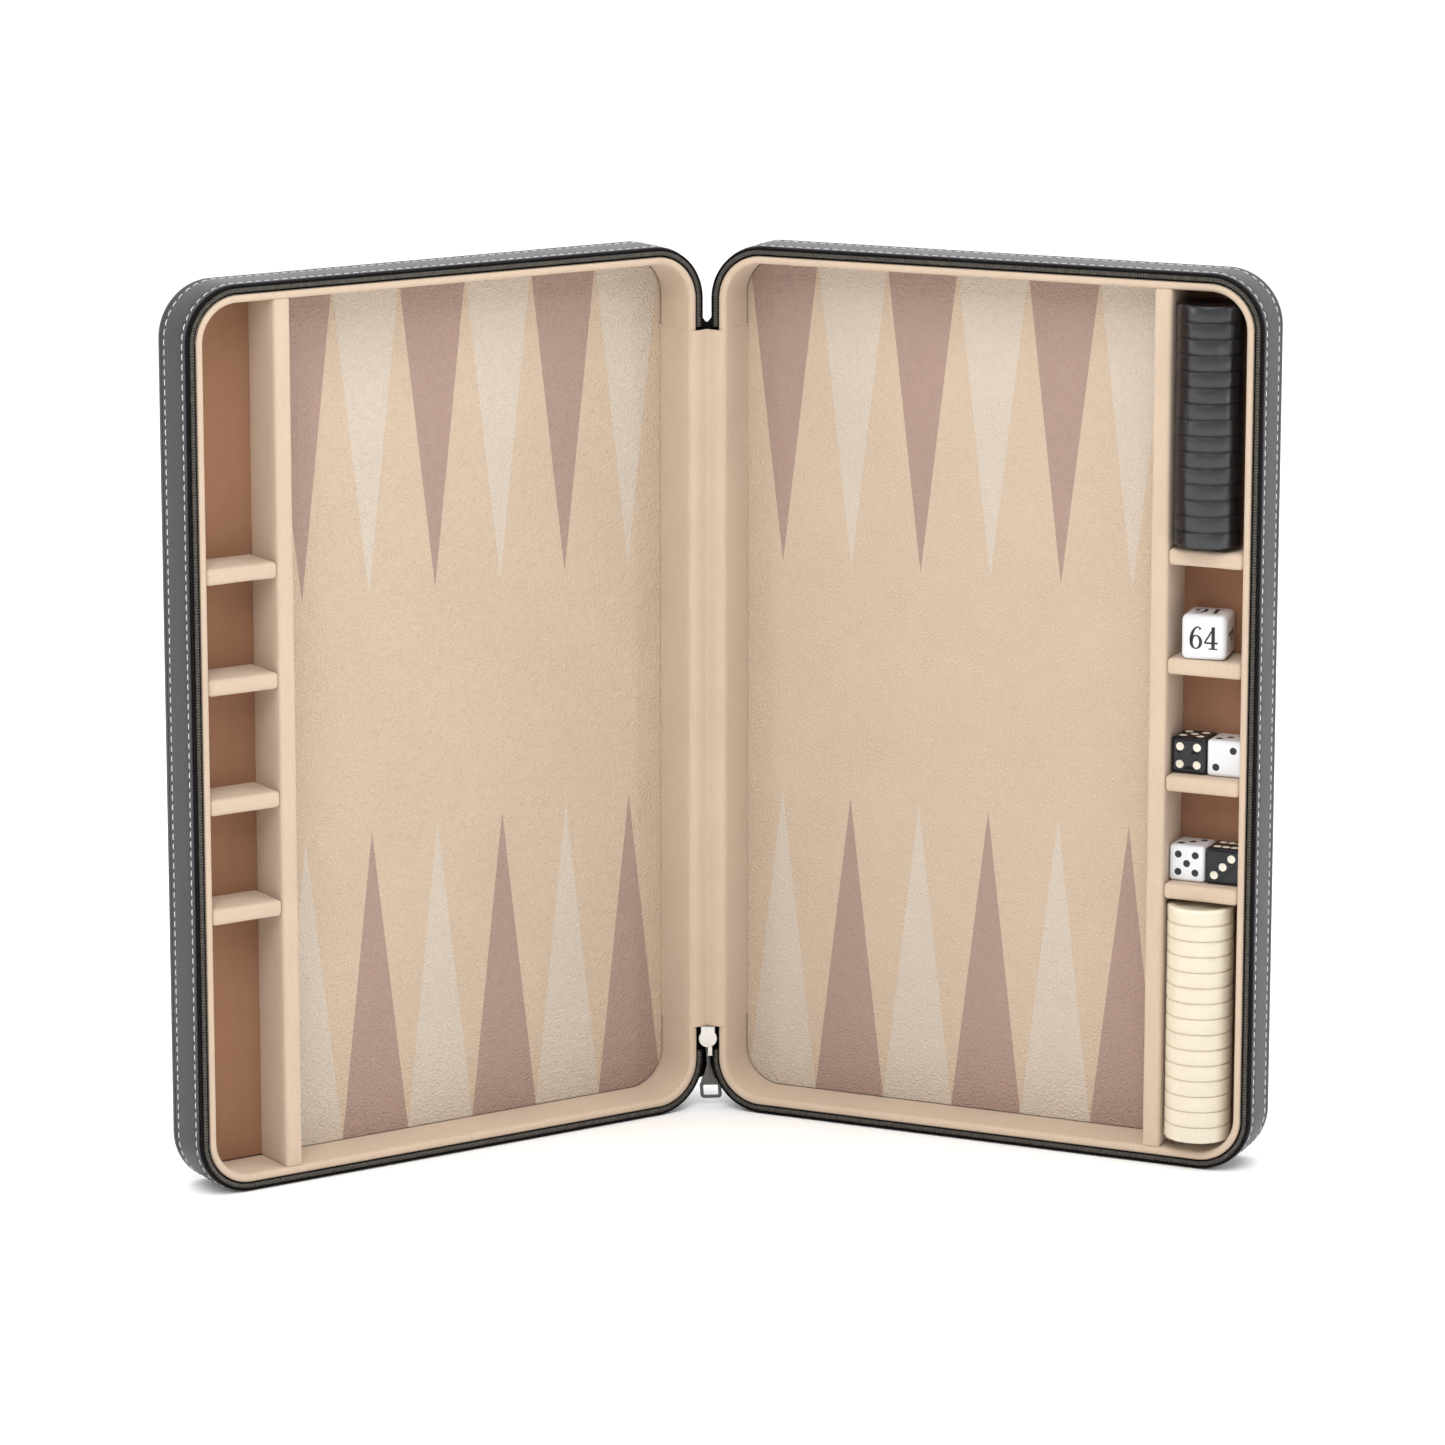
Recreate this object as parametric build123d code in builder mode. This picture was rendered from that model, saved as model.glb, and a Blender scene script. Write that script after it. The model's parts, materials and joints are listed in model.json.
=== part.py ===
"""Travel backgammon set: a zip-up case of two hinged trays that opens to a playing board.

Each half of the case is laid out in its own coordinates: u runs from the hinge axis to the free
edge, n runs from the rim of the tray back to its outer face, and z is up. The case stands on its
edge, half open. The left half is the right half's mirror image.
"""
from build123d import *
from math import cos, radians, sin, sqrt
import os

# Case
case_height = 390.0
reach = 255.0                    # hinge axis to the free edge of one half
hinge_gap = 1.2                  # hinge axis to the hinge side of one half
half_depth = 29.0                # rim to back of one half
opening_angle = 122.86           # between the two halves as the set stands
corner_radius = 24.0
back_edge_radius = 4.2
back_edge_flat = 0.01            # left of the lid's side below its rounded edge

# Wall of a half, as distances in from its outer side and back from its rim
leather = 0.9
band_front = 2.7                 # depth at which the leather band starts
tape = 0.5
zip_front = 0.3
tape_tail = 7.0                  # depth to which the zip tape runs under the leather
channel_inner = 4.2
channel_depth = 4.8
coil_width = 1.8
coil_back = 2.1
board_inner = 7.0
board_front = 0.6
wall = 7.6
rim_front = 0.15
board_floor = 25.5
board_back = 28.0
board_edge_radius = 2.4

# Playing field and points
field_surface = 24.4
point_depth = 0.3
point_pitch = 32.75
point_middle = 107.7             # middle of the six points, from the hinge axis
point_tip = 51.85                # height of the tips above and below the middle of the case
points_per_side = 6

# Tray beside the field
divider_near = 206.1
divider_far = 214.2
tray_floor = 22.6
rack_front = 0.5
shelf_thickness = 7.0
shelf_heights = (-73.0, -25.6, 25.6, 73.0)
rack_rounding = 1.2

# Spine, inside and outside
gusset_bottom = 38.2
gusset_top = 352.5
gusset_thickness = 0.5
gusset_gap = 0.05                # from the lining and the rims to the gusset
cover_bottom = 46.5
cover_top = 352.0
cover_thickness = 0.7
cover_gap = 0.1                  # from the leather bands to the spine cover
cover_start = 0.6
spine_depth = 24.0

# Zip slider, measured from the hinge axis
slider_radius = 4.05
slider_neck = 3.1                # half width of the neck above the round end
slider_bottom = 28.7
slider_top = 38.2
inner_plate = (-3.1, -2.4)
outer_plate = (1.5, 2.3)
slider_core = 1.6
zip_start = 46.0
slider_room = (21.0, 46.0)
slider_swing = 2.0               # depth to which the channel's inner leg is cut for the slider
bridge_width = 0.9
bridge_steps = ((0.0, 0.9), (2.2, 2.1), (3.2, 3.5))   # out from the plate, in from its ends
pin_height = 33.4
pin_depth = 4.3
pin_radius = 0.4
pin_clearance = 0.15
pull_eye = 0.8                   # height of the pull above its pin
pull_leg = 0.45
pull_width = 9.6
pull_bottom = 3.2
pull_frame_top = 10.8
pull_flare = 8.6                 # width of the tab where it joins its frame
pull_shoulder = 19.0
pull_fork = 26.0
pull_thickness = 1.2
pull_border = 1.5

# Playing pieces
checker_radius = 14.4
checker_height = 6.88
checker_count = 15
checker_gap = 0.02               # between one piece and the next
checker_rounding = 1.2
checker_border = 3.5
checker_recess = 0.4
stack_u = 229.0
stack_n = 7.8
film = 0.2
film_gap = 0.05
end_gap = 0.3
film_rounding = 1.5
film_gather = 1.6                # the gathered film under the upper stack holds it off its shelf
cube_size = 19.6
cube_rounding = 2.4
cube_turn = 6.7                  # the cube stands slightly turned in its compartment
cube_u = 229.1
cube_n = 11.1
die_size = 16.0
die_rounding = 1.5
die_near_u = 222.6
die_far_u = 238.9
die_n = 14.3
rest_gap = 0.1                   # under a die or the cube on its shelf

# Places worked out from the dimensions above
lean = (180.0 - opening_angle) / 2
lean_sin = sin(radians(lean))
lean_cos = cos(radians(lean))
half_width = reach - hinge_gap
half_middle = (hinge_gap + half_width / 2, case_height / 2)
front_extent = (reach - leather) * lean_sin - zip_front * lean_cos
back_corner = (hinge_gap + back_edge_radius, half_depth - back_edge_radius)
back_extent = back_corner[1] * lean_cos - back_corner[0] * lean_sin + back_edge_radius
hinge_y = (front_extent - back_extent) / 2
field_near = hinge_gap + wall
tray_far = reach - wall
shelf_tops = [case_height / 2 + height + shelf_thickness / 2 for height in shelf_heights]

half_plane = Plane(
    origin=(0, hinge_y, 0),
    x_dir=(lean_cos, -lean_sin, 0),
    z_dir=(-lean_sin, -lean_cos, 0),
)


def at_depth(depth):
    """The plane across the right half at a depth behind its rim: its X is u, its Y is z."""
    return half_plane.offset(-depth)


def spot(u, n):
    """World X and Y of a place in the right half."""
    return (u * lean_cos + n * lean_sin, hinge_y - u * lean_sin + n * lean_cos)


def outline(inset, mode=Mode.ADD):
    """The rounded outline of a half, moved in from its outer side."""
    with Locations(half_middle):
        RectangleRounded(
            half_width - 2 * inset,
            case_height - 2 * inset,
            corner_radius - inset,
            mode=mode,
        )


def ring(front, back, outer, inner, mode=Mode.ADD):
    """A frame that follows the outline, between two depths and two insets."""
    with BuildSketch(at_depth(front)) as profile:
        outline(outer)
        outline(inner, mode=Mode.SUBTRACT)
    extrude(profile.sketch, amount=front - back, mode=mode)


def block(u_range, z_range, n_range, mode=Mode.ADD):
    """A rectangular block in the coordinates of the right half."""
    with BuildSketch(at_depth(n_range[0])) as profile:
        with Locations(((u_range[0] + u_range[1]) / 2, (z_range[0] + z_range[1]) / 2)):
            Rectangle(u_range[1] - u_range[0], z_range[1] - z_range[0])
    extrude(profile.sketch, amount=n_range[0] - n_range[1], mode=mode)


def perimeter_bays():
    """The eight stretches of a half's wall: four straight sides and four corners."""
    u_stops = (hinge_gap, hinge_gap + corner_radius, reach - corner_radius, reach)
    z_stops = (0, corner_radius, case_height - corner_radius, case_height)
    for i in range(3):
        for j in range(3):
            if (i, j) != (1, 1):
                yield (u_stops[i], u_stops[i + 1]), (z_stops[j], z_stops[j + 1])


def keep(name, part):
    """Label a finished piece and write its file."""
    part.label = name
    export_step(part, f"parts/{name}.step")


os.makedirs("parts", exist_ok=True)

# Board carcass: a back board with four rails and four corner blocks, rebated for the zip
with BuildPart() as back_board:
    with BuildSketch(at_depth(board_floor)):
        outline(leather)
    extrude(amount=board_floor - board_back)
    back_edges = back_board.faces().sort_by(Axis(half_plane.origin, half_plane.z_dir))[0].edges()
    fillet(back_edges, radius=board_edge_radius)
rails = []
for u_bay, z_bay in perimeter_bays():
    with BuildPart() as rail:
        ring(channel_depth, board_floor, leather + tape, board_inner)
        ring(board_front, channel_depth, channel_inner, board_inner)
        block(u_bay, z_bay, (0, half_depth), mode=Mode.INTERSECT)
    rails.append(rail.part.solid())
right_shell = Compound(children=[back_board.part.solid(), *rails])

# Leather: a shallow lid over the back and a band round the sides
with BuildPart() as right_back_cover:
    with BuildSketch(at_depth(half_depth - back_edge_radius)):
        outline(0)
    extrude(amount=-back_edge_radius)
    outer_back = right_back_cover.faces().sort_by(Axis(half_plane.origin, half_plane.z_dir))[0]
    fillet(outer_back.edges(), radius=back_edge_radius - back_edge_flat)
    with BuildSketch(at_depth(half_depth - back_edge_radius)):
        outline(leather)
    extrude(amount=half_depth - back_edge_radius - board_floor, mode=Mode.SUBTRACT)
    add(back_board.part, mode=Mode.SUBTRACT)
band_strips = []
for u_bay, z_bay in perimeter_bays():
    with BuildPart() as strip:
        ring(band_front, half_depth - back_edge_radius, 0, leather)
        block(u_bay, z_bay, (0, half_depth), mode=Mode.INTERSECT)
        block((0, 3 * hinge_gap), slider_room, (0, 2 * band_front), mode=Mode.SUBTRACT)
    band_strips.append(strip.part.solid())
right_side_band = Compound(children=band_strips)

# Zip: tape folded into a channel round the rim, with the coil along its outer leg
with BuildPart() as right_zip_chain:
    ring(zip_front, tape_tail, leather, leather + tape)
    ring(channel_depth - tape, channel_depth, leather + tape, channel_inner)
    ring(board_front, channel_depth - tape, channel_inner - tape, channel_inner)
    ring(zip_front, coil_back, leather + tape, leather + tape + coil_width)
    hinge_strip = (0, hinge_gap + leather + tape + coil_width)
    block(hinge_strip, slider_room, (0, channel_depth - tape), mode=Mode.SUBTRACT)
    block((0, hinge_gap + channel_inner), slider_room, (0, slider_swing), mode=Mode.SUBTRACT)
    block(hinge_strip, (zip_start, cover_top), (0, coil_back), mode=Mode.SUBTRACT)

# Lining: fabric over the inside of the walls, capped over the rim, with a pad in the tray
with BuildPart() as right_lining:
    ring(board_front, board_floor, board_inner, wall)
    ring(rim_front, board_front, channel_inner, wall)
    with BuildSketch(at_depth(tray_floor)):
        outline(board_inner)
        with Locations((divider_far / 2, case_height / 2)):
            Rectangle(divider_far, case_height, mode=Mode.SUBTRACT)
    extrude(amount=tray_floor - board_floor)

# Tray rack: the divider beside the field and the four shelves
with BuildPart() as divider:
    block((divider_near, divider_far), (wall, case_height - wall), (rack_front, board_floor))
    front_edges = divider.faces().sort_by(Axis(half_plane.origin, half_plane.z_dir))[-1].edges()
    fillet(front_edges.filter_by(Axis.Z), radius=rack_rounding)
shelves = []
for shelf_height in shelf_heights:
    middle = case_height / 2 + shelf_height
    with BuildPart() as shelf:
        shelf_z = (middle - shelf_thickness / 2, middle + shelf_thickness / 2)
        block((divider_far, tray_far), shelf_z, (rack_front, tray_floor))
        front_edges = shelf.faces().sort_by(Axis(half_plane.origin, half_plane.z_dir))[-1].edges()
        fillet(front_edges.filter_by(Axis.Z, reverse=True), radius=rack_rounding)
    shelves.append(shelf.part.solid())
right_tray_rack = Compound(children=[divider.part.solid(), *shelves])


def point_set(first_at_top):
    """The long triangles of one colour: every other one along the top, the rest below."""
    with BuildSketch(at_depth(field_surface)) as triangles:
        for index in range(points_per_side):
            tip_u = point_middle + (index - (points_per_side - 1) / 2) * point_pitch
            side = 1 if (index % 2 == 0) == first_at_top else -1
            tip = (tip_u, case_height / 2 + side * point_tip)
            base_z = case_height / 2 * (1 + side)
            length = case_height / 2 - point_tip
            half_base = point_pitch / 2 * length / (length - wall)
            with BuildLine():
                Polyline(tip, (tip_u - half_base, base_z), (tip_u + half_base, base_z), close=True)
            make_face()
        with Locations((field_near + (divider_near - field_near) / 2, case_height / 2)):
            Rectangle(divider_near - field_near, case_height - 2 * wall, mode=Mode.INTERSECT)
        outline(wall, mode=Mode.INTERSECT)
    return triangles.sketch


with BuildPart() as mauve_inlay:
    extrude(point_set(first_at_top=True), amount=-point_depth)
with BuildPart() as ivory_inlay:
    extrude(point_set(first_at_top=False), amount=-point_depth)
with BuildPart() as right_play_panel:
    with BuildSketch(at_depth(field_surface)):
        outline(wall)
        with Locations((divider_near + reach / 2, case_height / 2)):
            Rectangle(reach, case_height, mode=Mode.SUBTRACT)
    extrude(amount=field_surface - board_floor)
    add(mauve_inlay.part, mode=Mode.SUBTRACT)
    add(ivory_inlay.part, mode=Mode.SUBTRACT)

right_pieces = {
    "shell": right_shell,
    "back_cover": right_back_cover.part,
    "side_band": right_side_band,
    "zip_chain": right_zip_chain.part,
    "lining": right_lining.part,
    "tray_rack": right_tray_rack,
    "play_panel": right_play_panel.part,
    "points_mauve": mauve_inlay.part,
    "points_ivory": ivory_inlay.part,
}
# Facing points are of opposite colours, so the two sets change places in the mirror
swapped = {"points_mauve": "points_ivory", "points_ivory": "points_mauve"}
for name, piece in right_pieces.items():
    keep(f"right_{name}", piece)
    keep(f"left_{swapped.get(name, name)}", mirror(piece, about=Plane.YZ, mode=Mode.PRIVATE))

# Spine: a fabric gusset over the two hinge walls inside, a leather cover between them outside
gusset_face = rim_front - 2 * gusset_gap
gusset_outer = hinge_gap + wall + gusset_gap
with BuildPart() as spine_gusset:
    with BuildSketch(Plane.XY.offset(gusset_bottom)):
        with BuildLine():
            Polyline(
                (0, spot(0, gusset_face)[1]),
                spot(gusset_outer, gusset_face),
                spot(gusset_outer, spine_depth),
                spot(gusset_outer + gusset_thickness, spine_depth),
                spot(gusset_outer + gusset_thickness, gusset_face - gusset_thickness),
                (0, spot(0, gusset_face - gusset_thickness)[1]),
                close=True,
            )
        make_face()
        mirror(about=Plane.YZ)
    extrude(amount=gusset_top - gusset_bottom)
cover_far = hinge_gap - cover_gap
cover_near = cover_far - cover_thickness
with BuildPart() as spine_cover:
    with BuildSketch(Plane.XY.offset(cover_bottom)):
        with BuildLine():
            Polyline(
                (0, spot(cover_near, cover_start)[1]),
                spot(cover_far, cover_start),
                spot(cover_far, spine_depth),
                spot(cover_near, spine_depth),
                spot(cover_near, cover_start + cover_thickness),
                (0, spot(cover_near, cover_start + cover_thickness)[1]),
                close=True,
            )
        make_face()
        mirror(about=Plane.YZ)
    extrude(amount=cover_top - cover_bottom)
keep("spine_gusset", spine_gusset.part)
keep("spine_cover", spine_cover.part)


def slider_plate(y_range):
    """A plate of the slider: a round lower end and a narrower neck above it."""
    middle = slider_bottom + slider_radius
    with BuildSketch(Plane.XZ.offset(-(hinge_y + y_range[0]))) as profile:
        with Locations((0, middle)):
            Circle(slider_radius)
        with Locations((0, (middle + slider_top) / 2)):
            Rectangle(2 * slider_neck, slider_top - middle)
    extrude(profile.sketch, amount=y_range[0] - y_range[1])


# Zip slider: two plates joined by a core, with a bridge on the outer plate for the pull
core_bottom = slider_bottom + slider_radius
core_top = slider_top - slider_core / 2
with BuildPart() as zip_slider:
    slider_plate(inner_plate)
    slider_plate(outer_plate)
    with BuildSketch(Plane.XY.offset(core_bottom)):
        with Locations((0, hinge_y + (inner_plate[0] + outer_plate[1]) / 2)):
            Rectangle(slider_core, outer_plate[1] - inner_plate[0])
    extrude(amount=core_top - core_bottom)
with BuildPart() as zip_bridge:
    bridge_y = hinge_y + outer_plate[1]
    lower_side = [(bridge_y + out, slider_bottom + inwards) for out, inwards in bridge_steps]
    upper_side = [(bridge_y + out, slider_top - inwards) for out, inwards in bridge_steps]
    with BuildSketch(Plane.YZ.offset(-bridge_width / 2)):
        with BuildLine():
            Polyline(*lower_side, *reversed(upper_side), close=True)
        make_face()
        with Locations((hinge_y + pin_depth, pin_height)):
            Circle(pin_radius + pin_clearance, mode=Mode.SUBTRACT)
    extrude(amount=bridge_width)
keep("zip_slider", zip_slider.part)
keep("zip_bridge", zip_bridge.part)

# Zip pull: a pin through the bridge, two legs and a tab that widens to an open frame
with BuildPart() as zip_pull:
    leg_x = bridge_width / 2 + pin_clearance + pull_leg / 2
    stem = leg_x + pull_leg / 2
    for side in (-1, 1):
        with BuildSketch(Plane.XY.offset(pull_shoulder)):
            with Locations((side * leg_x, hinge_y + pin_depth)):
                Rectangle(pull_leg, pull_thickness)
        extrude(amount=pin_height + pull_eye - pull_shoulder)
    with BuildSketch(Plane.YZ.offset(-leg_x)):
        with Locations((hinge_y + pin_depth, pin_height)):
            Circle(pin_radius)
    extrude(amount=2 * leg_x)
    frame_height = pull_frame_top - pull_bottom
    with BuildSketch(Plane.XZ.offset(-(hinge_y + pin_depth - pull_thickness / 2))):
        with BuildLine():
            Polyline(
                (-pull_flare / 2, pull_frame_top - pull_border),
                (pull_flare / 2, pull_frame_top - pull_border),
                (pull_flare / 2, pull_frame_top),
                (stem, pull_shoulder),
                (stem, pull_fork),
                (-stem, pull_fork),
                (-stem, pull_shoulder),
                (-pull_flare / 2, pull_frame_top),
                close=True,
            )
        make_face()
        with Locations((0, pull_bottom + frame_height / 2)):
            RectangleRounded(pull_width, frame_height, pull_border)
            Rectangle(pull_width - 2 * pull_border, frame_height - 2 * pull_border, mode=Mode.SUBTRACT)
    extrude(amount=-pull_thickness)
keep("zip_pull", zip_pull.part)


def rounded_disc(radius, bottom, height, rounding):
    """A disc or drum of the stack, with its edges rounded."""
    with BuildPart() as drum:
        with BuildSketch(Plane.XY.offset(bottom)):
            with Locations(spot(stack_u, stack_n)):
                Circle(radius)
        extrude(amount=height)
        fillet(drum.edges(), radius=rounding)
    return drum.part


def checker(bottom):
    """One playing piece, standing on its face, with a raised border on both faces."""
    thickness = checker_height - checker_gap
    with BuildPart() as piece:
        add(rounded_disc(checker_radius, bottom, thickness, checker_rounding))
        for face_z, direction in ((bottom, 1), (bottom + thickness, -1)):
            with BuildSketch(Plane.XY.offset(face_z)):
                with Locations(spot(stack_u, stack_n)):
                    Circle(checker_radius - checker_border)
            extrude(amount=direction * checker_recess, mode=Mode.SUBTRACT)
    return piece.part


def wrap(bottom):
    """The clear film round a stack of playing pieces, open in the middle of its two ends."""
    inner = checker_radius + film_gap
    height = checker_count * checker_height + 2 * film_gap
    start = bottom - film_gap
    with BuildPart() as sleeve:
        add(rounded_disc(inner + film, start - film, height + 2 * film, film_rounding))
        add(rounded_disc(inner, start, height, film_rounding - film), mode=Mode.SUBTRACT)
        with BuildSketch(Plane.XY.offset(start - film)):
            with Locations(spot(stack_u, stack_n)):
                Circle(checker_radius / 2)
        extrude(amount=height + 2 * film, mode=Mode.SUBTRACT)
    return sleeve.part


# The lower stack rests on the rounded inner corner of the tray, the upper one above a shelf
film_edge = stack_u + checker_radius + film_gap + film - film_rounding
corner_reach = corner_radius - wall - film_rounding
corner_height = sqrt(corner_reach**2 - (film_edge - (reach - corner_radius)) ** 2)
corner_rise = corner_radius - film_rounding - corner_height
stack_bottoms = {
    "black": shelf_tops[-1] + end_gap + film + film_gather,
    "cream": corner_rise + end_gap + film,
}
for colour, stack_bottom in stack_bottoms.items():
    for number in range(checker_count):
        level = stack_bottom + number * checker_height
        keep(f"{colour}_checker_{number + 1:02d}", checker(level))
    keep(f"{colour}_stack_wrap", wrap(stack_bottom))


def rounded_cube(size, rounding, u, n, bottom, turn=0.0):
    """A die or the doubling cube, standing on a shelf."""
    with BuildPart() as piece:
        with BuildSketch(Plane.XY.offset(bottom)):
            with Locations(Location((*spot(u, n), 0), (0, 0, turn - lean))):
                Rectangle(size, size)
        extrude(amount=size)
        fillet(piece.edges(), radius=rounding)
    return piece.part


dice = {
    "black_die_upper": (die_near_u, shelf_tops[1]),
    "white_die_upper": (die_far_u, shelf_tops[1]),
    "white_die_lower": (die_near_u, shelf_tops[0]),
    "black_die_lower": (die_far_u, shelf_tops[0]),
}
for name, (die_u, shelf_top) in dice.items():
    keep(name, rounded_cube(die_size, die_rounding, die_u, die_n, shelf_top + rest_gap))
cube_shelf = shelf_tops[2] + rest_gap
keep("doubling_cube", rounded_cube(cube_size, cube_rounding, cube_u, cube_n, cube_shelf, cube_turn))
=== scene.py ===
"""The looks of the travel backgammon set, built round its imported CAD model.

Each half of the case is worked in millimetres in its own coordinates, as the CAD model is:
u runs from the hinge axis to the free edge, n from the rim back to the outer face, z is up.
A place round the case is a distance t along its outer side and a distance d in from it.
"""
import json
import math

import bmesh
import bpy
from mathutils import Matrix, Vector, noise

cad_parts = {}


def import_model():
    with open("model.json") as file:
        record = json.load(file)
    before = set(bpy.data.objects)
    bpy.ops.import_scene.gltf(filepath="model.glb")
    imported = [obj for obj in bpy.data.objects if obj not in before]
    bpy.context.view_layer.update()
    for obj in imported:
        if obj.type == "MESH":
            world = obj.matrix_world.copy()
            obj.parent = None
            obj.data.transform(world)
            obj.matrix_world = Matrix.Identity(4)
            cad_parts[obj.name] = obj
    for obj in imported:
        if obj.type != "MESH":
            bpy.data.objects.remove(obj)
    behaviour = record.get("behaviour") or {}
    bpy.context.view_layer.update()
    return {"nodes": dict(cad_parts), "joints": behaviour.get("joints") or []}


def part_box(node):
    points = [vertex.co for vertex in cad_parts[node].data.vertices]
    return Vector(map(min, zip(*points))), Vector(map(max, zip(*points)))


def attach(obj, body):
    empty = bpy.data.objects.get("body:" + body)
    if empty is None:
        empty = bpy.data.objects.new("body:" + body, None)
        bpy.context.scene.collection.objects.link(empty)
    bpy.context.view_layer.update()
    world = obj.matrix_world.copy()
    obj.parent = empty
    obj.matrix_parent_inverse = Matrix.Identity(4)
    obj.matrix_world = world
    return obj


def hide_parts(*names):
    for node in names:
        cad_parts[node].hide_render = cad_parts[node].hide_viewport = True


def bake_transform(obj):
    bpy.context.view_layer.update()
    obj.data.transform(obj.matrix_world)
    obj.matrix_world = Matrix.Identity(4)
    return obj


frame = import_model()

MM = 0.001

# ---------------------------------------------------------------- places, from the CAD frame

joints = {joint["name"]: joint for joint in frame["joints"]}
opening = -joints["case_hinge"]["range_deg"][0]
lean = math.radians((180 - opening) / 2)
hinge_y = joints["case_hinge"]["pos_m"][1] / MM
lean_sin = math.sin(lean)
lean_cos = math.cos(lean)


def world(u, n, z):
    """A place in the right half, in metres in the row frame."""
    x = u * lean_cos + n * lean_sin
    y = hinge_y - u * lean_sin + n * lean_cos
    return Vector((x, y, z)) * MM


def half_box(node):
    """The lowest and highest u, n and z of a right-half node, in millimetres."""
    spots = []
    for vertex in frame["nodes"][node].data.vertices:
        x, y, z = vertex.co / MM
        y -= hinge_y
        spots.append((x * lean_cos - y * lean_sin, x * lean_sin + y * lean_cos, z))
    return [(min(axis), max(axis)) for axis in zip(*spots)]


band_u, band_n, band_z = half_box("right_side_band")
_, cover_n, _ = half_box("right_back_cover")
lining_u, lining_n, _ = half_box("right_lining")
rack_u, rack_n, rack_z = half_box("right_tray_rack")
panel_u, panel_n, _ = half_box("right_play_panel")

side_near, side_far = band_u
height = band_z[1]
case_depth = cover_n[1]
corner = 24.0
wall = panel_u[0] - side_near
channel = lining_u[0] - side_near
tray_near = rack_u[0] + 8.1
tray_far = rack_u[1]
tray_floor = rack_n[1] - 2.9
shelf_thickness = 7.0
shelf_middles = [height / 2 + shift for shift in (-73.0, -25.6, 25.6, 73.0)]

straight_side = height - 2 * corner
straight_end = side_far - side_near - 2 * corner
quarter = corner * math.pi / 2
round_length = 2 * (straight_side + straight_end) + 4 * quarter


def station(t):
    """The place (u, z) at t along the outer side, and the direction inwards.

    t starts half way up the hinge side and runs down, along the bottom and up the free side.
    """
    t %= round_length
    stretches = (
        (straight_side / 2, (side_near, height / 2), (0, -1)),
        (quarter, (side_near + corner, corner), 180),
        (straight_end, (side_near + corner, 0), (1, 0)),
        (quarter, (side_far - corner, corner), 270),
        (straight_side, (side_far, corner), (0, 1)),
        (quarter, (side_far - corner, height - corner), 0),
        (straight_end, (side_far - corner, height), (-1, 0)),
        (quarter, (side_near + corner, height - corner), 90),
        (straight_side / 2, (side_near, height - corner), (0, -1)),
    )
    for length, start, course in stretches:
        if t <= length:
            break
        t -= length
    if isinstance(course, tuple):
        place = (start[0] + course[0] * t, start[1] + course[1] * t)
        return place, (-course[1], course[0])
    angle = math.radians(course) + t / corner
    out = (math.cos(angle), math.sin(angle))
    return (start[0] + corner * out[0], start[1] + corner * out[1]), (-out[0], -out[1])


def at(t, d, n):
    """A world place round the case, at depth n and d in from the outer side."""
    (u, z), (in_u, in_z) = station(t)
    return world(u + in_u * d, n, z + in_z * d)


def round_stops(start=0.0, end=None, straight_step=9.0, arc_step=1.6):
    """Distances round the case, closer together round the corners."""
    end = round_length if end is None else end
    stops = [start]
    while stops[-1] < end - 1e-6:
        inside = station(stops[-1] + 1e-4)[1]
        step = straight_step if min(abs(inside[0]), abs(inside[1])) < 1e-9 else arc_step
        here = stops[-1]
        for corner_stop in corner_stops():
            if here + 1e-6 < corner_stop < here + step:
                step = corner_stop - here
        stops.append(min(here + step, end))
    return stops


def corner_stops():
    """Where each corner starts and ends."""
    t = 0.0
    for length in (straight_side / 2, quarter, straight_end, quarter, straight_side, quarter,
                   straight_end, quarter):
        t += length
        yield t


hinge_drop = {"bottom": height / 2 - 27.0, "top": round_length - (353.0 - height / 2)}

# ---------------------------------------------------------------- shader kit


class Signal:
    """A shader socket that can be used in sums."""

    def __init__(self, finish, socket):
        self.finish = finish
        self.socket = socket

    def math(self, operation, first, second=0.0, third=0.0):
        inputs = {0: first, 1: second, 2: third}
        return self.finish.node("ShaderNodeMath", {"operation": operation}, inputs)

    def __add__(self, other):
        return self.math("ADD", self, other)

    def __radd__(self, other):
        return self.math("ADD", other, self)

    def __sub__(self, other):
        return self.math("SUBTRACT", self, other)

    def __rsub__(self, other):
        return self.math("SUBTRACT", other, self)

    def __mul__(self, other):
        return self.math("MULTIPLY", self, other)

    def __rmul__(self, other):
        return self.math("MULTIPLY", other, self)

    def __truediv__(self, other):
        return self.math("DIVIDE", self, other)

    def __pow__(self, other):
        return self.math("POWER", self, other)

    def sin(self):
        return self.math("SINE", self)

    def between(self, low, high):
        """0 below low, 1 above high, and a smooth rise between them."""
        inputs = {"Value": self, "From Min": low, "From Max": high}
        return self.finish.node("ShaderNodeMapRange", {"interpolation_type": "SMOOTHSTEP"}, inputs)


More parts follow.
